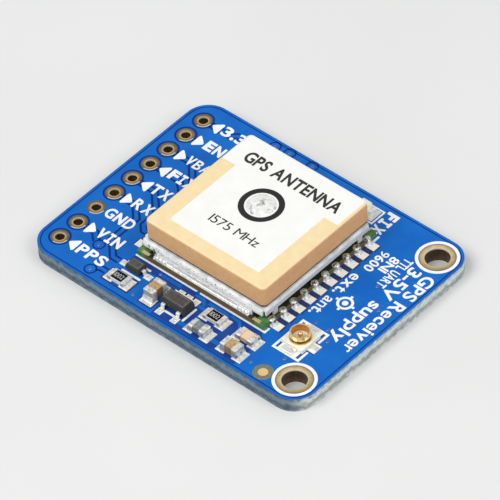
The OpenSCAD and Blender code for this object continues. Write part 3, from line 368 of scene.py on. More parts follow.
# %% Make the finishes
HEADER_X, HEADER_PITCH = -15.115, 2.54
MOUNT_X, MOUNT_Y = 14.605, 10.16
header_rings = (
    {"Row": HEADER_X, "First": 0.0, "Pitch": HEADER_PITCH, "Inner": 0.5, "Outer": 0.915},
    {"Rim highlight": (214, 190, 142), "Edge": (104, 82, 50)},
)
mount_rings = (
    {"Row": MOUNT_X, "First": MOUNT_Y, "Pitch": 2 * MOUNT_Y, "Inner": 1.25, "Outer": 1.775},
    {"Rim highlight": (252, 234, 190), "Edge": (166, 130, 82)},
)
ONE_LAYER = 50.0
MASK_SKIN = {"rough": (0.32, 0.42), "grain_of": (0.35, 2.0)}
finishes = {
    # Painted shade: the board's sides facing along Y take the darker second side shade.
    "board_mask": finish("blue_mask", (4, 96, 186), (12, 108, 198), patch=2.5, gloss=0.2, **MASK_SKIN,
                         side_of=(0.6, (144, 152, 155), (222, 227, 225)),
                         painted_side_shades=(PLAIN, (142, 158, 174))),
    # Painted shade: the barrel inside each header hole is dark brown.
    "hole_copper": finish("tarnished_ring", (128, 106, 68), (160, 136, 92), patch=0.5, rough=(0.25, 0.45),
                          metallic=0.5, ring_of=header_rings, side_of=(0.5, (84, 57, 27), (132, 96, 52)),
                          side_rough=0.4),
    "gold_plate": finish("gold_plate", (214, 184, 122), (240, 214, 156), patch=0.7, rough=(0.25, 0.4),
                         metallic=0.35),
    "tinned_land": finish("tinned_land", (240, 239, 231), (253, 252, 246), patch=0.25, spread=0.2,
                          rough=(0.3, 0.5), metallic=0.05, grain_of=(0.12, 5.0)),
    # Painted shade: the module's green mask is dark all over; its corners get their own green further on.
    "module_board": finish("green_mask_in_painted_shade", (26, 40, 24), (38, 54, 32), patch=1.2, rough=(0.3, 0.45),
                           side_of=(0.18, (92, 74, 44), (126, 104, 66))),
    "solder": finish("reflowed_solder", (216, 216, 212), (250, 250, 246), patch=0.3, rough=(0.1, 0.28),
                     metallic=0.45, grain_of=(0.2, 8.0)),
    # Painted light: the can's walls facing along Y are lighter than its top, and those facing along X take a
    # darker painted shade.
    "can_sheet": finish("plated_sheet", (206, 208, 208), (250, 250, 248), patch=0.7, spread=0.1,
                        rough=(0.25, 0.5), metallic=0.05, grain_of=(0.22, 10.0), stretch=(0.6, 0.6, 1.6),
                        side_of=(ONE_LAYER, (240, 240, 238), (255, 255, 253)), painted_side_shades=((206, 208, 212), PLAIN),
                        side_rough=0.45),
    "chip_mould": finish("moulded_epoxy", (58, 58, 55), (80, 79, 75), patch=0.3, rough=(0.5, 0.7),
                         grain_of=(0.05, 5.0), side_of=(ONE_LAYER, (34, 35, 35), (50, 51, 50)),
                         side_rough=0.6),
    "package_ceramic": finish("package_ceramic", (150, 136, 104), (178, 164, 130), patch=0.5),
    "tape": finish("adhesive_tape", (50, 46, 42), (66, 61, 55), patch=0.8, rough=(0.6, 0.8)),
    "silver_film": finish("silver_film", (243, 242, 237), (247, 246, 242), patch=1.5, rough=(0.5, 0.65),
                          grain_of=(0.06, 2.0)),
    # Painted shade: the ceramic's sides are darker than its top, and each pair of sides takes its own painted
    # shade.
    "antenna_ceramic": finish("antenna_ceramic", (240, 213, 161), (247, 225, 179), patch=0.9, spread=0.3,
                              rough=(0.6, 0.8), grain_of=(0.07, 1.0),
                              side_of=(ONE_LAYER, (222, 174, 122), (232, 188, 138)),
                              painted_side_shades=((249, 237, 222), (244, 239, 230)), side_rough=0.6),
    "print_black": finish("ring_ink", (16, 16, 16), (32, 31, 30), patch=0.12, rough=(0.5, 0.7)),
    "tinned_pin": finish("tinned_lead", (212, 212, 206), (244, 244, 238), patch=0.4, rough=(0.2, 0.4),
                         metallic=0.3),
    "coax_insulator": finish("cream_insulator", (243, 240, 226), (252, 250, 240), patch=0.5,
                             rough=(0.45, 0.6)),
    "gold_shell": finish("gold_shell", (238, 196, 118), (252, 224, 158), patch=0.6, rough=(0.14, 0.28),
                         metallic=0.65),
    "resistor_ceramic": finish("alumina", (226, 224, 215), (241, 240, 233), patch=0.2, rough=(0.5, 0.7)),
    "resistor_glaze": finish("black_glaze", (10, 10, 12), (20, 20, 22), patch=0.3, rough=(0.35, 0.5),
                             gloss=0.15),
    # Painted shade: the end caps' sides are darker than their faces, those facing along Y darker still.
    "end_cap": finish("end_cap", (184, 182, 174), (252, 251, 246), patch=0.3, rough=(0.2, 0.4), metallic=0.35,
                      grain_of=(0.12, 5.0), side_of=(ONE_LAYER, (158, 160, 155), (226, 226, 221)),
                      painted_side_shades=(PLAIN, (206, 210, 206)), side_rough=0.3),
    # Painted shade: the capacitors' sides are darker than their tops.
    "capacitor_ceramic": finish("brown_ceramic", (164, 128, 84), (202, 168, 120), patch=0.2, rough=(0.4, 0.6),
                                side_of=(ONE_LAYER, (116, 92, 68), (150, 120, 88)), side_rough=0.4),
    "bead_ferrite": finish("grey_ferrite", (88, 97, 101), (154, 164, 165), patch=0.25, rough=(0.15, 0.3)),
    "lamp_base": finish("lamp_base", (240, 239, 228), (250, 249, 241), patch=0.4, rough=(0.45, 0.6)),
    "lamp_lens": finish("lamp_lens", (236, 240, 216), (248, 250, 238), patch=0.5, rough=(0.18, 0.3),
                        coat=0.3),
}
# Painted shade: the barrel inside each mounting hole is dark.
mount_ring = finish("clean_ring", (212, 184, 124), (236, 210, 154), patch=0.6, rough=(0.25, 0.4),
                    metallic=0.4, ring_of=mount_rings, side_of=(1.2, (48, 34, 18), (104, 80, 46)),
                    side_rough=0.35)
bright_dot = finish("bright_dot", (226, 186, 122), (240, 208, 146), patch=0.3, rough=(0.3, 0.45),
                    metallic=0.2)
bright_dome = finish("bright_dome", (232, 232, 227), (252, 252, 248), patch=0.5, spread=0.12,
                     rough=(0.08, 0.3), metallic=0.12, grain_of=(0.45, 14.0))
print(len(finishes), "finishes")

# %% [markdown]
# ## Hand the finishes out
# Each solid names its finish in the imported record, so a loop can put them on. They could be set by hand,
# one by one, and three are: the mounting eyelets are cleaner than the header's, and the fiducial dot and
# the dome over the feed are brighter than their slots.

# %% Put a finish on every solid
def put_on(piece, material):
    """Gives a piece one material in place of those it came with."""
    piece.data.materials.clear()
    piece.data.materials.append(material)


for entry in frame["record"]["subparts"]:
    put_on(nodes[entry["node"]], finishes[entry["material_slot"]])
put_on(nodes["mounting_eyelets"], mount_ring)
put_on(nodes["fiducial_dot"], bright_dot)
put_on(nodes["feed_solder"], bright_dome)
put_on(floor, finish("pale_table", (226, 226, 224), (230, 230, 228), patch=40, rough=(0.7, 0.8)))

# %% [markdown]
# ## Masks by place
# Some finishes change from place to place on one solid. Such a place could be cut out as a piece of its
# own. Here a mask on Object coordinates blends a second colour into the finish, so the solids stay whole.
# The helpers make a mask past a limit, between two limits, where two masks meet, where one isn't, and in
# specks.

# %% Define the masks
def blend_in(material, mask, colour):
    """Mixes a colour into a finish where the mask is one."""
    tree = material.node_tree
    base = tree.nodes["Principled BSDF"].inputs["Base Color"]
    tree.links.new(mix(tree, mask, base.links[0].from_socket, colour), base)


def beyond(tree, axis, limit, centre=None):
    """Gives a mask that is one past a limit in mm, on one side or, with a centre, on both."""
    along = axes(tree, spot(tree))[axis]
    if centre is not None:
        along = calc(tree, "ABSOLUTE", calc(tree, "SUBTRACT", along, centre * MM))
    return calc(tree, "GREATER_THAN", along, limit * MM)


def both_of(tree, first, second):
    """Gives the mask where two masks meet."""
    return calc(tree, "MULTIPLY", first, second)


def all_but(tree, mask):
    """Gives the mask where another is nought."""
    return calc(tree, "SUBTRACT", 1.0, mask)


def band(tree, value, low, high):
    """Gives a mask that is one where a length lies between two limits in mm."""
    above = calc(tree, "GREATER_THAN", value, low * MM)
    return both_of(tree, above, calc(tree, "LESS_THAN", value, high * MM))


def specks(tree, patch, detail, low, high, stretch=EVEN):
    """Gives a mask of specks of a size in mm, where noise rises from the low to the high value."""
    return ramp(tree, noise(tree, patch * MM, detail, stretch), low, high)


def box_mm(name):
    """Gives a solid's box in mm: its low corner, its high corner and its middle."""
    low, high = (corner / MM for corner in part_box(name))
    return low, high, (low + high) / 2


def plan_middle(name):
    """Gives the middle of a solid in plan, in metres."""
    middle = box_mm(name)[2] * MM
    return Vector((middle.x, middle.y, 0))


print("board in mm:", [[round(v, 2) for v in corner] for corner in box_mm("board")])

# %% [markdown]
# ## The antenna and a pale capacitor
# The antenna's film runs over the far edge of the ceramic, and the ceramic's foot gets a painted shade line
# over the dark gap of the tape. One capacitor is of a paler make. The film over the edge could be a folded
# sheet, but it is too thin to show a thickness.

# %% Blend the film's edge, the foot's painted shade and the pale capacitor
FILM_LAP, FILM_DROP, FOOT_SHADE = 0.05, 0.3, 0.3
film_high = box_mm("antenna_radiator")[1]
ceramic = finishes["antenna_ceramic"]
tree = ceramic.node_tree
wrap = both_of(tree, beyond(tree, "Y", film_high.y - FILM_LAP), beyond(tree, "Z", film_high.z - FILM_DROP))
wrap_tones = two_tones(tree, patch=1.5, low=(240, 239, 233), high=(247, 246, 241))
blend_in(ceramic, wrap, wrap_tones[0])
# Painted shade: a dark band at the ceramic's foot stands in for the shade of the tape's gap.
foot = all_but(tree, beyond(tree, "Z", box_mm("antenna_ceramic")[0].z + FOOT_SHADE))
blend_in(ceramic, foot, srgb(44, 28, 14))

PALE_FROM_X, PALE_FROM_Y = 5.0, -10.1
tree = finishes["capacitor_ceramic"].node_tree
pale = both_of(tree, beyond(tree, "X", PALE_FROM_X), beyond(tree, "Y", PALE_FROM_Y))
blend_in(finishes["capacitor_ceramic"], pale, srgb(236, 204, 166))
print("blended: film, foot, pale capacitor")

# %% [markdown]
# ## The module's corners and the board's underside
# The module's green mask is painted dark all over, as painted shade under the can, and only its corners
# take their own green. The board's underside has margins round its pins and a printed circle for a coin cell.
# Raised artwork there would leave the imported box, so it is in the material.

# %% Blend the corners and the underside
CORNER_REACH = 6.85
module_mid = box_mm("module_substrate")[2]
tree = finishes["module_board"].node_tree
past_x = beyond(tree, "X", CORNER_REACH, module_mid.x)
past_y = beyond(tree, "Y", CORNER_REACH, module_mid.y)
corner_tones = two_tones(tree, patch=0.5, low=(56, 106, 54), high=(102, 154, 92))
# The corners take the mask's own green, outside the painted shade.
blend_in(finishes["module_board"], both_of(tree, past_x, past_y), corner_tones[0])

UNDER_FACE, LAST_PIN = 0.05, 11.4
PAD_GAP, CELL_RING = (0.94, 1.13), (6.3, 6.5)


def holes_of(tree, rings):
    """Adds the ring group for a row of holes."""
    holes = node(tree, "Group", node_tree=ring_tone)
    set_inputs(holes, rings[0])
    return holes.outputs


tree = finishes["board_mask"].node_tree
under = all_but(tree, beyond(tree, "Z", UNDER_FACE))
in_row = all_but(tree, beyond(tree, "Y", LAST_PIN, 0.0))
pin_gaps = both_of(tree, band(tree, holes_of(tree, header_rings)["Reach"], *PAD_GAP), in_row)
blend_in(finishes["board_mask"], both_of(tree, under, pin_gaps), srgb(10, 50, 138))
from_cell = vector_calc(tree, "DISTANCE", spot(tree), plan_middle("cell_lands"))["Value"]
blend_in(finishes["board_mask"], both_of(tree, under, band(tree, from_cell, *CELL_RING)), srgb(232, 236, 243))
print("blended: green corners, underside")

# %% [markdown]
# ## Rims of the plated holes
# The upper rim of each plated hole gets a painted highlight. The header's rings also have a painted
# highlight, a crescent on the side toward the near corner, and the mounting rings get painted shade that way.
# These could be thin pieces of their own. The ring group already measures the distance and the side, so they
# are masks.

# %% Blend the rims
RIM_DEPTH, CRESCENT_FROM, SHADE_REACH, SHADE_MOST = 0.15, 0.55, 1.8, 0.45
PIN_WALL, PIN_LIT, MOUNT_WALL = (0.4, 0.51), (0.80, 0.93), (1.1, 1.26)
face_z = box_mm("board")[1].z
# Each row: its finish, its rings, the wall of its holes, and its side mark: a painted highlight crescent for
# the header, painted shade for the mounting holes.
for material, rings, wall, colour in (
    (finishes["hole_copper"], header_rings, PIN_WALL, srgb(236, 220, 184)),
    (mount_ring, mount_rings, MOUNT_WALL, srgb(96, 72, 38)),
):
    tree = material.node_tree
    holes = holes_of(tree, rings)
    rim = both_of(tree, band(tree, holes["Reach"], *wall), beyond(tree, "Z", face_z - RIM_DEPTH))
    # Painted highlight on the upper rim of each hole.
    blend_in(material, rim, srgb(255, 246, 226))
    if material is mount_ring:
        side = ramp(tree, holes["Toward"], -SHADE_REACH * MM, SHADE_REACH * MM, SHADE_MOST)
    else:
        lit_crescent_side = calc(tree, "GREATER_THAN", holes["Toward"], CRESCENT_FROM * MM)
        side = both_of(tree, band(tree, holes["Reach"], *PIN_LIT), lit_crescent_side)
    blend_in(material, side, colour)
print("blended: rims of", PIN_WALL, "and", MOUNT_WALL)

# %% [markdown]
# ## Inside the coax shell
# Light hardly reaches the inside of the turned shell and its snap groove, so both get painted shade. Both lie
# at a known distance from the shell's axis, so the distance is the mask.

# %% Blend the coax shell
INNER_WALL, GROOVE_WALL, GROOVE_FOOT, GROOVE_HEAD = (0.5, 0.86), (0.86, 0.96), 2.15, 2.46
shell = finishes["gold_shell"]
tree = shell.node_tree
IN_PLAN = (1, 1, 0)
flat_spot = vector_calc(tree, "MULTIPLY", spot(tree), IN_PLAN)["Vector"]
from_axis = vector_calc(tree, "DISTANCE", flat_spot, plan_middle("coax_base"))["Value"]
# Painted shade on the inner wall, and darker painted shade in the groove.
blend_in(shell, band(tree, from_axis, *INNER_WALL), srgb(196, 136, 58))
in_groove = calc(tree, "SUBTRACT", beyond(tree, "Z", GROOVE_FOOT), beyond(tree, "Z", GROOVE_HEAD))
blend_in(shell, both_of(tree, band(tree, from_axis, *GROOVE_WALL), in_groove), srgb(92, 58, 16))
print("blended: coax shell")

# %% [markdown]
# ## Solder, can and dome
# The knuckles of solder at the module's half holes get dark specks, painted shade and dark reflections from
# under the can. The can's long walls are spotted, and darker at one end, and its short walls have a painted
# highlight along their upper edge. The dome over the feed has painted dark reflections. An image could hold
# such marks. Specks of noise, kept to those places, give them at any zoom.

# %% Blend the solder, the can and the dome
KNUCKLE_REACH, KNUCKLE_FOOT = 7.85, 1.95
tree = finishes["solder"].node_tree
knuckles = both_of(tree, beyond(tree, "X", KNUCKLE_REACH, module_mid.x), beyond(tree, "Z", KNUCKLE_FOOT))
# Painted shade and dark reflections: dark specks on the knuckles under the can's edge.
knuckle_shade_specks = specks(tree, patch=0.35, detail=COARSE, low=0.5, high=0.6)
blend_in(finishes["solder"], both_of(tree, knuckles, knuckle_shade_specks), srgb(92, 88, 70))

WALL_SKIN, DARK_END_REACH, EDGE_HIGHLIGHT_DEPTH = 0.08, 2.3, 0.14
can = finishes["can_sheet"]
tree = can.node_tree
can_low, can_high, can_mid = box_mm("shield_can")
long_wall = beyond(tree, "Y", can_high.y - can_mid.y - WALL_SKIN, can_mid.y)
spots = specks(tree, patch=0.16, detail=COARSE, low=0.58, high=0.68, stretch=(0.7, 1, 1))
blend_in(can, both_of(tree, long_wall, spots), srgb(104, 105, 102))
at_end = all_but(tree, beyond(tree, "X", can_low.x + DARK_END_REACH))
# Darker specks near the can's low end.
dark_end_specks = both_of(tree, specks(tree, patch=0.55, detail=MEDIUM, low=0.5, high=0.58), at_end)
blend_in(can, both_of(tree, long_wall, dark_end_specks), srgb(64, 64, 58))
short_wall = beyond(tree, "X", can_high.x - can_mid.x - WALL_SKIN, can_mid.x)
# Painted highlight along the upper edge of the short walls.
edge_highlight = both_of(tree, short_wall, beyond(tree, "Z", can_high.z - EDGE_HIGHLIGHT_DEPTH))
blend_in(can, edge_highlight, srgb(254, 254, 252))

# Painted dark reflections on the dome.
dome_dark_reflections = specks(bright_dome.node_tree, patch=0.7, detail=MEDIUM, low=0.56, high=0.66)
blend_in(bright_dome, dome_dark_reflections, srgb(158, 158, 150))
print("blended: solder, can, dome")

# %% [markdown]
# ## Tools for flat artwork
# Copper, mask openings and legend are all thin flat shapes: strips, rings and outlines. A strip could be a
# curve with a bevel. Here it is a grid one cell wide whose cross rows are moved onto the path, because that
# gives clean mitred corners and round ends. All shapes of one piece are drawn flat in one mesh, and then
# raised together.

# %% Define the drawing tools
def new_piece(name):
    """Starts an empty piece in edit mode."""
    bpy.ops.object.select_all(action="DESELECT")
    bpy.ops.mesh.primitive_plane_add(size=MM)
    piece = bpy.context.object
    piece.name = piece.data.name = name
    bpy.ops.object.mode_set(mode="EDIT")
    bpy.ops.mesh.delete(type="VERT")
    return piece


def lay_rows(rows):
    """Adds a grid one cell wide, and moves its cross rows onto the given pairs of points in mm."""
    bpy.ops.mesh.primitive_grid_add(x_subdivisions=len(rows) - 1, y_subdivisions=1, size=MM)
    drawing = bpy.context.object.data
    shape = bmesh.from_edit_mesh(drawing)
    picked = [corner for corner in shape.verts if corner.select]
    picked.sort(key=lambda corner: (round(corner.co.x / MM, 4), corner.co.y))
    for (left, right), low, high in zip(rows, picked[0::2], picked[1::2]):
        low.co, high.co = right.to_3d() * MM, left.to_3d() * MM
    bmesh.update_edit_mesh(drawing)


ROUND_STEPS = (78, 52, 26)


def side_line(path, shift):
    """Gives the path moved sideways, with its corners kept."""
    points = [Vector(point) for point in path]
    steps = [(b - a).normalized() for a, b in zip(points, points[1:])]
    moved = []
    for i, point in enumerate(points):
        before, after = steps[max(i - 1, 0)], steps[min(i, len(steps) - 1)]
        along = (before + after).normalized()
        moved.append(point + Vector((-along.y, along.x)) * shift / along.dot(after))
    return moved


def round_end(end, inside, width):
    """Gives the rows of a half disc at a strip's end, from its tip inwards."""
    step = (Vector(end) - Vector(inside)).normalized()
    across = Vector((-step.y, step.x)) * width / 2
    rows = []
    for turn in (math.radians(angle) for angle in ROUND_STEPS):
        centre, side = Vector(end) + step * math.sin(turn) * width / 2, across * math.cos(turn)
        rows.append((centre + side, centre - side))
    return rows


def strip(path, width, round_ends=False):
    """Draws a strip of even width along a path, with mitred corners."""
    rows = list(zip(side_line(path, width / 2), side_line(path, -width / 2)))
    if round_ends:
        first = [(left, right) for right, left in round_end(path[0], path[1], width)]
        last = round_end(path[-1], path[-2], width)
        rows = first + rows + last[::-1]
    lay_rows(rows)


print("a strip's round end takes", len(ROUND_STEPS), "rows")

# %% [markdown]
# ## Rings, boxes and thickness
# A ring could be a disc cut by another, and an outline four strips. An inset does both in one step: it
# leaves the rim and a middle face, which is deleted. Every drawing is then raised by one extrusion, and
# handed over with its finish.

# %% Define rings, outlines and the raising
def ring(x, y, outer, inner, sides=48):
    """Draws a ring: a disc, inset, with its middle taken out."""
    middle = (x * MM, y * MM, 0)
    bpy.ops.mesh.primitive_circle_add(vertices=sides, radius=outer * MM, fill_type="NGON", location=middle)
    bpy.ops.mesh.inset(thickness=(outer - inner) * MM, depth=0)
    bpy.ops.mesh.delete(type="FACE")


def outline(x, y, wide, deep, width):
    """Draws a rectangle's outline round a centre, with the strip inside the given size."""
    strip([(x - wide / 2, y), (x + wide / 2, y)], deep)
    bpy.ops.mesh.inset(thickness=width * MM, depth=0)
    bpy.ops.mesh.delete(type="FACE")


def raise_piece(piece, base, height, material):
    """Raises the flat drawing to a thin solid on its base height, and hands the piece over."""
    bpy.ops.mesh.select_all(action="SELECT")
    bpy.ops.mesh.extrude_region_move(TRANSFORM_OT_translate={"value": (0, 0, height * MM)})
    bpy.ops.mesh.select_all(action="SELECT")
    bpy.ops.mesh.normals_make_consistent(inside=False)
    bpy.ops.mesh.faces_shade_flat()
    bpy.ops.object.mode_set(mode="OBJECT")
    piece.data.transform(Matrix.Translation((0, 0, base * MM)))
    put_on(piece, material)
    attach(piece, "root")
    print(piece.name, len(piece.data.polygons), "faces")


BOARD_TOP = box_mm("board")[1].z
print("artwork lies at", round(BOARD_TOP, 3), "mm")

# %% [markdown]
# ## Copper under the mask
# A copper pour covers the board, and the mask over it looks light blue. Where the copper is etched away,
# along the traces and round the pads, the mask lies on bare laminate and looks darker. Those gaps could be
# painted in the material. As thin strips they have crisp edges at any zoom, and they follow the same
# coordinates as the holes. A trace shows as two such gaps, one on each side of it.

# %% Draw the gaps in the copper
PIN_COUNT = 9
GROUND_PIN = 2
pin_y = [(i - (PIN_COUNT - 1) / 2) * HEADER_PITCH for i in range(PIN_COUNT)]
GAP_WIDTH, TRACE_SIDE = 0.22, 0.30
GAP_HEIGHT = 0.008
dark_mask = finish("mask_on_laminate", (4, 45, 124), (8, 54, 134), patch=1.5, gloss=0.1, **MASK_SKIN)
gaps = new_piece("copper_gaps")
for i, y in enumerate(pin_y):
    if i != GROUND_PIN:
        ring(HEADER_X, y, PAD_GAP[1], PAD_GAP[0])
for path in (
    ((-14.1, -2.54), (-12.35, -2.54), (-11.05, -3.84), (-11.05, -7.25), (-9.3, -9.0), (-8.5, -9.0)),
    ((-14.1, 0.0), (-12.2, 0.0), (-9.96, -2.24), (-9.96, -4.0), (-9.4, -4.57), (-9.0, -4.57)),
    ((-14.1, -7.62), (-12.9, -7.62), (-12.0, -8.4)),
    ((-8.5, -10.8), (-9.3, -10.8), (-9.6, -11.1)),
    ((-14.1, 2.54), (-11.3, 2.54), (-10.0, 1.43), (-9.0, 1.43)),
    ((-14.1, 5.08), (-12.0, 5.08), (-10.0, 2.93), (-9.0, 2.93)),
    ((-14.1, 10.16), (-11.6, 10.16), (-11.1, 10.6), (-8.6, 10.6)),
):
    for shift in (TRACE_SIDE, -TRACE_SIDE):
        strip(side_line(path, shift), GAP_WIDTH)
raise_piece(gaps, BOARD_TOP, GAP_HEIGHT, dark_mask)

# %% [markdown]
# ## The area without a pour
# Beside the module, round the regulator and its parts, there is no pour at all, only a few wide traces.
# There the mask is dark throughout. The area is one strip whose width changes along its length, and the
# traces lie on it in the light mask.

# %% Draw the bare area and its traces
BARE_TOP, BARE_CUT, BARE_STEP, BARE_LOW = -7.52, -8.3, -8.35, -12.25
bare_mask = finish("mask_on_bare_area", (16, 60, 140), (28, 74, 156), patch=1.5, gloss=0.2, **MASK_SKIN)
bare = new_piece("bare_area")
lay_rows([
    (Vector((x, top)), Vector((x, foot)))
    for x, top, foot in (
        (-7.85, BARE_TOP, BARE_STEP), (-1.75, BARE_TOP, BARE_STEP),
        (-1.6, BARE_TOP, BARE_LOW), (8.2, BARE_TOP, BARE_LOW), (8.9, BARE_CUT, BARE_LOW),
    )
])
raise_piece(bare, BOARD_TOP, GAP_HEIGHT, bare_mask)

bare_traces = new_piece("bare_traces")
for width, *path in (
    (0.42, (0.9, -8.73), (2.3, -8.73)), (0.5, (1.0, -11.4), (2.3, -11.4)), (0.5, (5.1, -11.2), (6.3, -11.2)),
    (0.36, (-4.1, -7.87), (-1.6, -7.87)), (0.4, (1.9, -7.85), (4.1, -7.85), (4.6, -8.3)),
    (0.3, (0.2, -7.8), (1.2, -7.8), (1.75, -8.4)), (0.3, (4.6, -7.75), (5.7, -7.85), (6.3, -8.45)),
):
    strip(path, width)
raise_piece(bare_traces, BOARD_TOP, 2 * GAP_HEIGHT, finishes["board_mask"])

# %% [markdown]
# ## Gaps round the lands
# A land has a narrow dark margin, because the copper stops short of it, and between the module's lands
# there is no copper at all. The margins also take a duller, darker blue as painted shade beside the raised
# parts. The margins could be one larger patch under each land. They are drawn as outlines, and the module's
# as combs, so that nothing lies under the lands.

# %% Draw the margins of the lands
LAND_GAP, LANDS_LONG, LANDS_DEEP = 0.17, 3.07, 1.5
RESISTOR_A, RESISTOR_B, LAMP_RESISTOR = (-6.73, -10.86), (3.76, -9.05), (1.68, 10.6)
CAPACITOR_A = (-2.77, -10.17)
land_gaps = new_piece("land_gaps")
for (x, y), wide, deep in (
    (RESISTOR_A, LANDS_LONG, LANDS_DEEP),
    (LAMP_RESISTOR, LANDS_LONG, LANDS_DEEP),
    (CAPACITOR_A, LANDS_DEEP, LANDS_LONG),
):
    outline(x, y, wide + 2 * LAND_GAP, deep + 2 * LAND_GAP, LAND_GAP)

MODULE_PITCH, FIRST_LAND, LAND_COUNT, LAND_WIDE, CLEAR = 1.5, -6.07, 10, 0.9, 0.005
RIGHT_ROW, LEFT_ROW = (8.32, 9.4), (-7.78, -8.86)
for inner, outer in (RIGHT_ROW, LEFT_ROW):
    for i in range(1, LAND_COUNT):
        y = FIRST_LAND + (i - 0.5) * MODULE_PITCH
        strip([(inner, y), (outer, y)], MODULE_PITCH - LAND_WIDE)
    end = outer + math.copysign(LAND_GAP / 2, outer)
    for i in range(LAND_COUNT):
        y = FIRST_LAND + i * MODULE_PITCH
        strip([(end, y - LAND_WIDE / 2 + CLEAR), (end, y + LAND_WIDE / 2 - CLEAR)], LAND_GAP)

COAX_X, COAX_Y, GROUND_HALF, SIGNAL_HALF, MARGIN = 11.745, -6.06, 1.1, 0.575, 0.11
MARGIN_FROM, GROUND_END, SIGNAL_END = 1.3, 1.98, 2.12
for side in (-1, 1):
    across, up = COAX_X + side * (GROUND_HALF + MARGIN / 2), COAX_Y + side * (SIGNAL_HALF + MARGIN / 2)
    for way in (-1, 1):
        strip([(across, COAX_Y + way * reach) for reach in (MARGIN_FROM, GROUND_END)], MARGIN)
    strip([(COAX_X + MARGIN_FROM, up), (COAX_X + SIGNAL_END, up)], MARGIN)
# Missing copper and painted shade: a duller, darker blue than the gaps in the pour.
bare_gap = finish("gap_in_shade", (34, 48, 96), (50, 64, 112), patch=0.5, gloss=0.2)
raise_piece(land_gaps, BOARD_TOP, GAP_HEIGHT, bare_gap)

# %% [markdown]
# ## The rim of the pour
# The copper stops a little short of the board's edge, so that it is not cut when the board is routed. It
# shows as a thin dark line all the way round. The line follows the board's rounded corners, so it is made
# from a plane whose corners are bevelled in edit mode, then inset.

# %% Draw the rim
RIM_INSET, RIM_WIDTH, CORNER_R = 0.26, 0.12, 2.54
CORNER_STEPS = 10
board_high = box_mm("board")[1]
rim = new_piece("pour_rim")
half_long, half_deep = board_high.x - RIM_INSET, board_high.y - RIM_INSET
strip([(-half_long, 0), (half_long, 0)], 2 * half_deep)
bpy.ops.mesh.bevel(offset=(CORNER_R - RIM_INSET) * MM, segments=CORNER_STEPS, affect="VERTICES")
bpy.ops.mesh.select_all(action="SELECT")
bpy.ops.mesh.inset(thickness=RIM_WIDTH * MM, depth=0)
bpy.ops.mesh.delete(type="FACE")
raise_piece(rim, BOARD_TOP, GAP_HEIGHT, dark_mask)

# %% [markdown]
# ## Vias
# Small plated holes join the two faces of the board. The mask runs over them, so each shows as a low bump
# with a dimple in its middle, and a few sit in a dark ring of their own. One is modelled from a disc by
# insets, and the others are copies with their own mesh.

# %% Model one via and copy it
VIA_RADIUS, VIA_SIDES, SMOOTH_UNDER = 0.22, 20, math.radians(60)
VIA_STEPS = ((0.04, 0.035), (0.05, 0.02), (0.06, 0.006), (0.04, -0.012))
vias = (
    (-11.47, -8.62), (-9.92, -11.5), (-7.3, 11.8), (-5.57, 12.0), (-2.7, 12.0),
    (11.33, -3.42), (12.8, -3.42), (14.0, -1.58), (13.75, -4.58), (14.83, 1.42),
    (12.67, 3.75), (12.13, -8.75), (10.0, -11.0), (-4.43, -11.47), (-4.23, -7.87),
)
via_caps = new_piece("via_caps")
bpy.ops.mesh.primitive_circle_add(vertices=VIA_SIDES, radius=VIA_RADIUS * MM, fill_type="NGON")
bpy.ops.mesh.extrude_region_move(TRANSFORM_OT_translate={"value": (0, 0, GAP_HEIGHT * MM)})
for narrower, rise in VIA_STEPS:
    bpy.ops.mesh.inset(thickness=narrower * MM, depth=rise * MM)
bpy.ops.mesh.select_all(action="SELECT")
bpy.ops.mesh.normals_make_consistent(inside=False)
bpy.ops.object.mode_set(mode="OBJECT")
copies = [via_caps] + [via_caps.copy() for _ in vias[1:]]
for copied in copies[1:]:
    copied.data = via_caps.data.copy()
    bpy.context.collection.objects.link(copied)
for copied, (x, y) in zip(copies, vias):
    copied.data.transform(Matrix.Translation((x * MM, y * MM, BOARD_TOP * MM)))
    copied.select_set(True)
bpy.context.view_layer.objects.active = via_caps
bpy.ops.object.join()
bpy.ops.object.shade_smooth_by_angle(angle=SMOOTH_UNDER)
put_on(via_caps, finish("mask_over_via", (4, 78, 168), (14, 98, 190), patch=0.4, rough=(0.1, 0.2), coat=1.0,
                        gloss=1.0))
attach(via_caps, "root")
print(len(vias), "vias")

RINGED_VIAS, VIA_RING = 5, (0.66, 0.5)
via_rings = new_piece("via_rings")
for x, y in vias[:RINGED_VIAS]:
    ring(x, y, *VIA_RING)
raise_piece(via_rings, BOARD_TOP, GAP_HEIGHT, dark_mask)

# %% [markdown]
# ## The fiducial's window
# A placing machine finds the board by a bright dot in a clear round window, where there is neither copper
# nor mask. The bare laminate there is a dull olive. A ring round the gold dot is enough.

# %% Open the fiducial's window
WINDOW_RADIUS, WINDOW_HEIGHT = 1.0, 0.01
laminate = finish("bare_laminate", (96, 104, 92), (128, 132, 112), patch=0.2, rough=(0.6, 0.8))
dot_high, dot_mid = box_mm("fiducial_dot")[1:]
window = new_piece("fiducial_window")
ring(dot_mid.x, dot_mid.y, WINDOW_RADIUS, dot_high.x - dot_mid.x)
raise_piece(window, BOARD_TOP, WINDOW_HEIGHT, laminate)

# %% [markdown]
# ## Legend: lines and rings
# White ink marks where each part goes: a line along the module, a box round the coax receptacle and the
# lamp, bars beside the diode and the regulator, and a ring round each mounting hole. A plain sight, a ring
# with a cross, stands for a position. The lines could be bevelled curves. Ink that is screened on has round
# ends, which the strip tool gives.

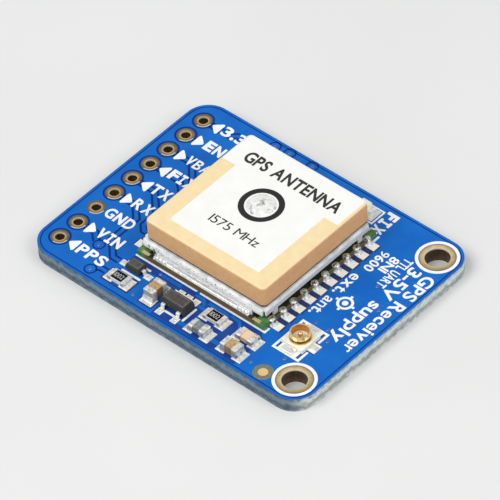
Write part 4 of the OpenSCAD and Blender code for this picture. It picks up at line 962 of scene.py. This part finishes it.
# %% Draw the legend's lines
INK_HEIGHT = 0.018
LINE_WIDTH = 0.25
white_ink = finish("white_ink", (238, 240, 240), (253, 253, 251), patch=0.25, spread=0.25, rough=(0.5, 0.7),
                   grain_of=(0.08, 5.0))
lines = new_piece("legend_lines")
for path in (
    ((-7.74, -7.37), (-0.15, -7.37)),
    ((0.44, -7.37), (8.43, -7.37), (8.43, -6.8)),
    ((8.52, 8.05), (8.52, 8.7)),
    ((-7.55, 8.7), (-7.55, 9.0), (8.0, 9.0)),
    ((-7.45, -9.69), (-5.3, -9.69)),
    ((-7.45, -8.19), (-5.3, -8.19)),
    ((1.48, -9.25), (1.48, -11.05)),
    ((-0.58, -11.17), (0.42, -11.17)),
    ((13.26, -5.2), (13.26, -3.97), (10.22, -3.97), (10.22, -8.18), (13.26, -8.18), (13.26, -6.9)),
):
    strip(path, LINE_WIDTH, round_ends=True)
TICKS_X, TICK_Y, TICK_HALF, TICK_WIDTH = (-1.59, -0.6, 0.4), -8.53, 0.12, 0.14
for x in TICKS_X:
    strip([(x - TICK_HALF, TICK_Y), (x + TICK_HALF, TICK_Y)], TICK_WIDTH, round_ends=True)
outline(x=4.95, y=10.63, wide=3.9, deep=2.06, width=0.18)
for y in (MOUNT_Y, -MOUNT_Y):
    ring(MOUNT_X, y, outer=2.14, inner=1.82, sides=64)
SIGHT_X, SIGHT_Y, ARM_REACH, ARM_WIDTH = 11.78, 0.17, (0.85, 1.1), 0.26
ring(SIGHT_X, SIGHT_Y, outer=0.84, inner=0.58)
ring(SIGHT_X, SIGHT_Y, outer=0.31, inner=0.02, sides=24)
for across, up in ((1, 0), (-1, 0), (0, 1), (0, -1)):
    strip([(SIGHT_X + reach * across, SIGHT_Y + reach * up) for reach in ARM_REACH], ARM_WIDTH)
raise_piece(lines, BOARD_TOP, INK_HEIGHT, white_ink)

# %% [markdown]
# ## Legend: arrows beside the header
# An arrow beside each pin but the ground shows whether it takes a signal in or gives one out. Each is a
# triangle with soft corners. It could be a disc of three sides, bevelled. The grid tool is at hand and
# draws it in rows across, which widen and then run to a point.

# %% Draw the arrows
ARROW_ROWS = ((0.0, 0.58), (0.05, 0.70), (0.13, 0.76), (0.24, 0.72), (0.84, 0.22), (0.94, 0.12), (0.99, 0.03))
ARROW_LOW, ARROW_HIGH, ARROW_SHIFT = -13.92, -12.93, 0.08
OUT_PINS, IN_PINS = (0, 4, 5, 8), (1, 3, 6, 7)
arrows = new_piece("pin_arrows")
for pins, base, sign in ((IN_PINS, ARROW_LOW, 1), (OUT_PINS, ARROW_HIGH, -1)):
    for pin in pins:
        y = pin_y[pin] + ARROW_SHIFT
        lay_rows([
            (Vector((base + sign * reach, y + sign * half)), Vector((base + sign * reach, y - sign * half)))
            for reach, half in ARROW_ROWS
        ])
raise_piece(arrows, BOARD_TOP, INK_HEIGHT, white_ink)

# %% [markdown]
# ## Two drawn letters
# The legend is in a plain bold letter. Blender's own type needs no font file, but its I lacks the bars that
# the board's I has, and its B closes up when it is thickened. Those two are drawn with the grid tool: the I
# in rows from foot to head, and the B as a stem with two bowls, in rows across the stroke.

# %% Draw the I and the B
BARRED_I = ((0.0, 0.27), (0.04, 0.32), (0.18, 0.32), (0.21, 0.27), (0.22, 0.11),
            (0.78, 0.11), (0.79, 0.27), (0.82, 0.32), (0.96, 0.32), (1.0, 0.27))
B_STEM = 0.22
B_HEIGHTS = (0.0, 0.22, 0.53, 0.64, 0.75, 1.01, 1.23)
B_BOWLS = (
    (((B_STEM, 1.23), (B_STEM, 1.01)), ((0.48, 1.23), (0.44, 1.01)), ((0.66, 1.17), (0.52, 0.98)),
     ((0.75, 1.05), (0.55, 0.93)), ((0.77, 0.93), (0.56, 0.88)), ((0.74, 0.80), (0.55, 0.82)),
     ((0.66, 0.70), (0.52, 0.78)), ((0.50, 0.64), (0.44, 0.75)), ((B_STEM, 0.64), (B_STEM, 0.75))),
    (((B_STEM, 0.64), (B_STEM, 0.53)), ((0.50, 0.64), (0.46, 0.53)), ((0.68, 0.58), (0.54, 0.50)),
     ((0.79, 0.48), (0.59, 0.44)), ((0.83, 0.35), (0.61, 0.37)), ((0.80, 0.20), (0.59, 0.29)),
     ((0.71, 0.08), (0.54, 0.24)), ((0.52, 0.0), (0.46, 0.22)), ((B_STEM, 0.0), (B_STEM, 0.22))),
)


def drawn_letter(letter):
    """Draws the I or the B as strips that share their corners."""
    shape = new_piece("drawn_letter")
    if letter == "I":
        lay_rows([(Vector((-half, up)), Vector((half, up))) for up, half in BARRED_I])
    else:
        strip([(B_STEM / 2, up) for up in B_HEIGHTS], B_STEM)
        for bowl in B_BOWLS:
            lay_rows([(Vector(outer), Vector(inner)) for outer, inner in bowl])
        bpy.ops.mesh.select_all(action="SELECT")
        bpy.ops.mesh.remove_doubles(threshold=MICRON * MM)
    bpy.ops.object.mode_set(mode="OBJECT")
    return shape


print("drawn: I in", len(BARRED_I), "rows, B with", len(B_BOWLS), "bowls")

# %% [markdown]
# ## Setting type
# The other letters could be painted, but type keeps its edges. Each letter is thickened with the text's
# offset, made a mesh, and fitted to a box as it was measured. A letter whose outline would cross itself
# when it is thickened has a limit of its own. The letters of a piece are joined flat and raised like any
# drawing.

# %% Define the type
TYPE_WEIGHT, OPEN_WEIGHT, WORD_WEIGHT = 0.03, 0.05, 0.022
OPEN_LETTERS = "XVTNEF"
WEIGHT_LIMITS = {
    "r": 0.006, "n": 0.006, "9": 0.008, "a": 0.012, "e": 0.016, "t": 0.018, "p": 0.02, "T": 0.036,
}


def letter_mesh(letter, weight=TYPE_WEIGHT):
    """Makes a letter a flat mesh, with its baseline at zero."""
    if letter in ("I", "B"):
        return drawn_letter(letter)
    bpy.ops.object.select_all(action="DESELECT")
    bpy.ops.object.text_add()
    bpy.context.object.data.body = letter
    bpy.context.object.data.offset = min(weight, WEIGHT_LIMITS.get(letter, weight))
    bpy.ops.object.convert(target="MESH")
    return bpy.context.object


def ink_box(shape):
    """Gives the left, lower, right and upper end of a flat mesh."""
    xs, ys = zip(*((corner.co.x, corner.co.y) for corner in shape.data.vertices))
    return min(xs), min(ys), max(xs), max(ys)


def seat(x, y, wide, tall, turn=0.0):
    """Scales a shape to mm, turns it and moves its origin to a place."""
    return (
        Matrix.Translation((x * MM, y * MM, 0))
        @ Matrix.Rotation(turn, 4, "Z")
        @ Matrix.Diagonal((wide * MM, tall * MM, 1, 1))
    )


def fit_letter(letter, x, y, wide, tall, turn=0.0):
    """Sets one letter exactly into a box."""
    shape = letter_mesh(letter, OPEN_WEIGHT if letter in OPEN_LETTERS else TYPE_WEIGHT)
    left, low, right, high = ink_box(shape)
    fit = seat(x, y, wide / (right - left), tall / (high - low), turn)
    shape.data.transform(fit @ Matrix.Translation((-left, -low, 0)))
    return shape


def ink_piece(name, shapes, base, material, height=INK_HEIGHT):
    """Joins flat letters into one piece and raises it."""
    bpy.ops.object.select_all(action="DESELECT")
    for shape in shapes:
        shape.select_set(True)
    bpy.context.view_layer.objects.active = shapes[0]
    bpy.ops.object.join()
    shapes[0].name = shapes[0].data.name = name
    bpy.ops.object.mode_set(mode="EDIT")
    raise_piece(shapes[0], base, height, material)


print("letters with a limit:", ", ".join(WEIGHT_LIMITS))

# %% [markdown]
# ## Legend: the pin names
# Each header pin has its name, beside its arrow where it has one. A name could be one text, but then its
# letters would keep the type's own widths. Here each letter gets the width that was measured. All names but
# the longest have one cap height.

# %% Set the pin names
NAME_X, GROUND_X, NAME_CAP, NAME_STEP, NAME_WIDE = -12.70, -13.95, 1.34, 1.2, 1.03
I_WIDE, POINT_WIDE = 0.64, 0.40
NAME_SHIFT, FIRST_SHIFT, LONG_SHIFT = 0.25, 0.06, 0.15
LONG_WIDE, LONG_CAP = 0.81, 0.92
letters = []
for i, name in enumerate(("PPS", "VIN", "GND", "RX", "TX", "FIX", "VBAT", "EN", "3.3V")):
    x = GROUND_X if i == GROUND_PIN else NAME_X
    shrink, cap, shift = 1.0, NAME_CAP, NAME_SHIFT if i else FIRST_SHIFT
    if name == "VBAT":
        shrink, cap, shift = LONG_WIDE, NAME_CAP * LONG_CAP, LONG_SHIFT
    foot = pin_y[i] + shift - cap / 2
    for letter in name:
        wide = {"I": I_WIDE, ".": POINT_WIDE}.get(letter, NAME_WIDE) * shrink
        tall = POINT_WIDE if letter == "." else cap
        letters.append(fit_letter(letter, x, foot, wide, tall))
        x += wide + (NAME_STEP - NAME_WIDE) * shrink
ink_piece("pin_names", letters, BOARD_TOP, white_ink)

# %% [markdown]
# ## Legend: words down the side
# The words on the far side of the coax receptacle read down the board, with their tops outwards. They are
# set letter by letter on one baseline, and each word is scaled to its own length and cap height, so
# capitals and small letters keep their own shapes.

# %% Set the words down the side
DOWN = -math.pi / 2
cap_probe = letter_mesh("H")
CAP_UNITS = ink_box(cap_probe)[3]
bpy.data.objects.remove(cap_probe)
LETTER_SPACE, WORD_SPACE = 0.06, 0.32


def fit_word(text, x, y, length, cap, turn=0.0, weight=WORD_WEIGHT):
    """Sets a word with its left end and baseline at a place, to a length and a cap height."""
    shapes, pen = [], 0.0
    for letter in text:
        if letter == " ":
            pen += WORD_SPACE
            continue
        shape = letter_mesh(letter, weight)
        left, _, right, _ = ink_box(shape)
        shape.data.transform(Matrix.Translation((pen - left, 0, 0)))
        shapes.append(shape)
        pen += right - left + LETTER_SPACE
    for shape in shapes:
        shape.data.transform(seat(x, y, length / (pen - LETTER_SPACE), cap / CAP_UNITS, turn))
    return shapes


WORD_CAP, MIDDLE_CAP, SMALL_CAP = 1.36, 1.24, 0.98
words = []
for line, x, y, length, cap in (
    ("GPS Receiver", 15.28, 7.7, 12.2, WORD_CAP),
    ("3-5V supply", 13.55, 7.7, 11.9, WORD_CAP),
    ("ext. ant.", 9.75, 3.7, 6.5, MIDDLE_CAP),
    ("TTL UART", 12.36, 8.25, 4.4, SMALL_CAP),
    ("8N1", 11.24, 7.65, 2.2, SMALL_CAP),
    ("9600", 10.0, 7.65, 2.95, SMALL_CAP),
):
    words += fit_word(line, x, y, length, cap, DOWN)
LAMP_X, LAMP_Y, LAMP_SPACE = 7.1, 11.97, 0.24
y = LAMP_Y
for letter, wide in (("F", 0.86), ("I", 0.7), ("X", 0.95)):
    words.append(fit_letter(letter, LAMP_X, y, wide, WORD_CAP, DOWN))
    y -= wide + LAMP_SPACE
ink_piece("side_words", words, BOARD_TOP, white_ink)

# %% [markdown]
# ## Lines on the moulded bodies
# A moulded body has a shallow step round its top face, left by the mould, and its edge catches the light. A
# thin pale outline inside the top face paints that highlight.

# %% Draw the mould lines
# Painted highlight: the pale line stands in for the light on the mould's step.
mould_edge_highlight = finish("painted_mould_highlight", (104, 101, 93), (132, 128, 117), patch=0.15, rough=(0.4, 0.6))
MOULD_WIDTH, MOULD_HEIGHT = 0.05, 0.006
for body, margin in (("regulator_body", 0.27), ("diode_body", 0.24)):
    low, high, middle = box_mm(body)
    wide, deep, _ = high - low
    step = new_piece(body + "_line")
    outline(middle.x, middle.y, wide - 2 * margin, deep - 2 * margin, MOULD_WIDTH)
    raise_piece(step, high.z, MOULD_HEIGHT, mould_edge_highlight)

# %% [markdown]
# ## Ink on the antenna and the resistors
# The antenna's film is printed in black, and the resistors carry their value in white, three digits and a
# count of noughts. An image could carry both. Type stays crisp and needs no file, and it is set on the
# heights of the solids below it.

# %% Print the antenna and the resistors
black_ink = finish("black_ink", (26, 26, 27), (52, 51, 50), patch=0.15, spread=0.25, rough=(0.5, 0.7),
                   grain_of=(0.06, 4.0))
PRINT_HEIGHT, PRINT_WEIGHT, THIN = 0.01, 0.03, 0.0
print_words = [
    *fit_word("GPS ANTENNA", x=-5.3, y=5.15, length=11.8, cap=1.42, weight=PRINT_WEIGHT),
    *fit_word("1575 MHz", x=-2.4, y=-2.95, length=6.0, cap=1.08, weight=THIN),
]
ink_piece("antenna_print", print_words, film_high.z, black_ink, PRINT_HEIGHT)

VALUE_LONG, VALUE_CAP, VALUE_HEIGHT = 1.04, 0.56, 0.008
digit_ink = finish("digit_ink", (158, 160, 161), (204, 206, 207), patch=0.1, spread=0.25, rough=(0.5, 0.7))
values = []
for x, y in (RESISTOR_A, RESISTOR_B, LAMP_RESISTOR):
    values += fit_word("1002", x - VALUE_LONG / 2, y - VALUE_CAP / 2, VALUE_LONG, VALUE_CAP, weight=THIN)
ink_piece("resistor_values", values, box_mm("resistor_glazes")[1].z, digit_ink, VALUE_HEIGHT)
